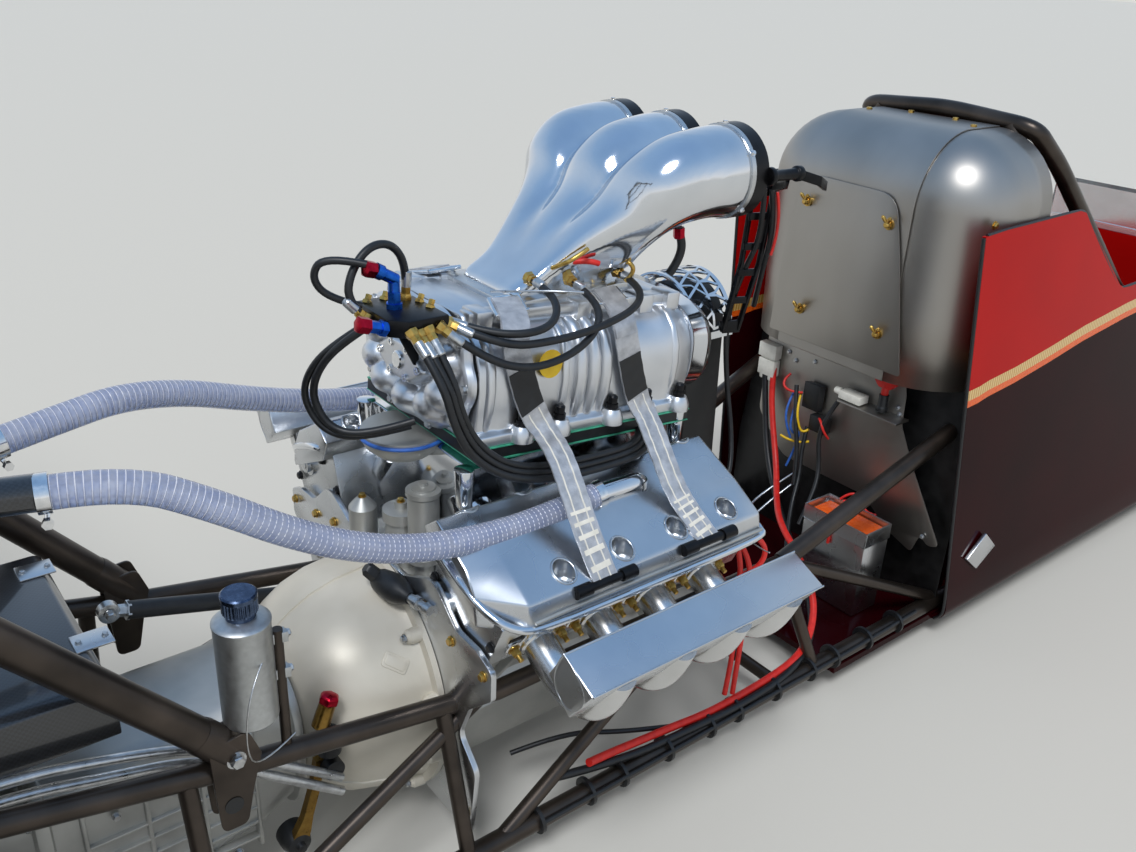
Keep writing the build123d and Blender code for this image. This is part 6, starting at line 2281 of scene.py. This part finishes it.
# %% Butterfly wheel
YOKE = at(2150, 0, 640)
COLUMN = Vector((340, 0, -40)).normalized()
YOKE_UP = COLUMN.cross(LEFT).normalized()
yoke = bmesh.new()
turn(yoke, YOKE, COLUMN, [(0, 12), (342, 12)], 24)
turn(yoke, YOKE, COLUMN, [(-8, 26), (-6, 30), (6, 30), (8, 24)], 32)
skin(yoke, [[YOKE + (COLUMN * depth + LEFT * a + YOKE_UP * b) * MM for a, b in (
    (-112, -6), (-112, 26), (-40, 14), (40, 14), (112, 26), (112, -6), (40, -26), (-40, -26))]
    for depth in (-4, 4)])
place_piece("butterfly_wheel", yoke, "black_steel", ["steering_yoke"], "steering_yoke", bevel=1.5)
grips = bmesh.new()
for side in (-1, 1):
    start = YOKE + (LEFT * side * 113 - YOKE_UP * 32) * MM
    turn(grips, start, YOKE_UP, [
        (0, 11), (4, 14), (24, 12), (44, 14), (64, 12), (84, 14), (100, 14), (105, 10)], 24)
place_piece("wheel_grips", grips, "black", body="steering_yoke")

# %% [markdown]
# Roll cage
#
# The cage is bent from 41 mm chromoly tube. One long tube comes up from the cowl on each side
# and crosses over the driver's head, and an upright hoop is welded under it. A real bend has a
# radius of about three tube widths, so each corner of a route gets a point shortly before it and
# one after it.

# %% Cage tubes
def bend(points, reach):
    """Route with a point on each side of every corner, so that only the corners are round."""
    route = [points[0]]
    for before, corner, after in zip(points, points[1:], points[2:]):
        here = Vector(corner)
        towards = [Vector(other) - here for other in (before, after)]
        near, far = [here + way.normalized() * min(reach, way.length * 0.45) for way in towards]
        route += [tuple(near), corner, tuple(far)]
    return route + [points[-1]]


BROW = [(2520, 262, 640), (2080, 264, 745), (1630, 246, 1116), (1528, 226, 1200)]
BROW_RIGHT = [(s, -y, z) for s, y, z in BROW[::-1]]
cage_routes = [bend(BROW + [(1522, 0, 1216)] + BROW_RIGHT, 120)]
brace_routes = []
for side in (-1, 1):
    cage_routes.append(bend([(1523, side * 170, 1200), (1523, side * 288, 1000),
                             (1522, side * 300, 600), (1522, side * 315, 85)], 90))
    cage_routes.append([(830, side * 250, 337), (1300, side * 284, 517), (1522, side * 300, 600)])
    brace_routes.append([(1522, side * 300, 600), (2000, side * 303, 470), (2490, side * 305, 330)])
place_lines("roll_cage_tubes", cage_routes, 20.5, "bare_chromoly", ["roll_cage"], steps=6)
place_lines("roll_cage_braces", brace_routes, 14, "bare_chromoly", steps=4)

# %% [markdown]
# Studio
#
# A pale floor, one broad sun and a sky. The sun lights all nine metres of the car alike, which a
# lamp near it wouldn't. Polished metal only shows what stands round it, so the sky runs from
# white at the horizon to blue overhead, as it did over the real car. Cloudy white light falls on
# the object itself, and so its colours stay as written.

# %% Floor, sky and sun
FLOOR_SIZE = 160.0
SKY_LIGHT = 0.58
SUN_LIGHT = 1.9
SUN_WIDTH = 18.0
SUN_TOWARDS = Vector((0.62, 0.52, -1.15))
SKY = [(0.0, "#dcdcd9"), (0.06, "#eef1f4"), (0.32, "#c3d6ec"), (0.75, "#93b6de"), (0.99, "#86abd8")]


def lay_floor():
    """A pale floor."""
    mesh = bpy.data.meshes.new("floor")
    half = FLOOR_SIZE / 2
    corners = [(-half, -half, 0), (half, -half, 0), (half, half, 0), (-half, half, 0)]
    mesh.from_pydata(corners, [], [(0, 1, 2, 3)])
    floor = bpy.data.objects.new("floor", mesh)
    bpy.context.collection.objects.link(floor)
    material, _, shader, _ = new_material("pale studio floor", {"Roughness": 0.8})
    shader.inputs["Base Color"].default_value = linear("#cfcfcb")
    mesh.materials.append(material)


def light_sky():
    """Sky for the camera, for gloss and for glass; plain white light for everything else."""
    world = bpy.data.worlds.new("studio sky")
    bpy.context.scene.world = world
    world.use_nodes = True
    tree = world.node_tree
    background = tree.nodes["Background"]
    direction = add_node(tree, "ShaderNodeTexCoord").outputs["Generated"]
    height = add_node(tree, "ShaderNodeSeparateXYZ", {0: direction}).outputs["Z"]
    ramp = add_node(tree, "ShaderNodeValToRGB", {"Fac": height})
    for place, colour in SKY:
        stop = ramp.color_ramp.elements[0] if place == 0.0 else ramp.color_ramp.elements.new(place)
        stop.color = linear(colour)
    ramp.color_ramp.elements.remove(ramp.color_ramp.elements[-1])
    paths = add_node(tree, "ShaderNodeLightPath")
    seen = add_node(tree, "ShaderNodeMath", {
        0: paths.outputs["Is Camera Ray"], 1: paths.outputs["Is Transmission Ray"]},
        operation="MAXIMUM")
    glossy = add_node(tree, "ShaderNodeMath", {
        0: seen.outputs[0], 1: paths.outputs["Is Glossy Ray"]}, operation="MAXIMUM")
    colour = add_node(tree, "ShaderNodeMix", {
        0: glossy.outputs[0], 6: linear("#f4f6f8"), 7: ramp.outputs["Color"]}, data_type="RGBA")
    level = add_node(tree, "ShaderNodeMapRange", {
        "Value": glossy.outputs[0], "To Min": SKY_LIGHT, "To Max": 1.0})
    tree.links.new(colour.outputs[2], background.inputs["Color"])
    tree.links.new(level.outputs["Result"], background.inputs["Strength"])


def hang_sun():
    """One broad sun from behind the camera's left shoulder."""
    data = bpy.data.lights.new("sun", "SUN")
    data.energy = SUN_LIGHT
    data.angle = math.radians(SUN_WIDTH)
    sun = bpy.data.objects.new("sun", data)
    bpy.context.collection.objects.link(sun)
    sun.rotation_euler = SUN_TOWARDS.to_track_quat("-Z", "Y").to_euler()


lay_floor()
light_sky()
hang_sun()
bpy.context.scene.view_settings.view_transform = "Standard"
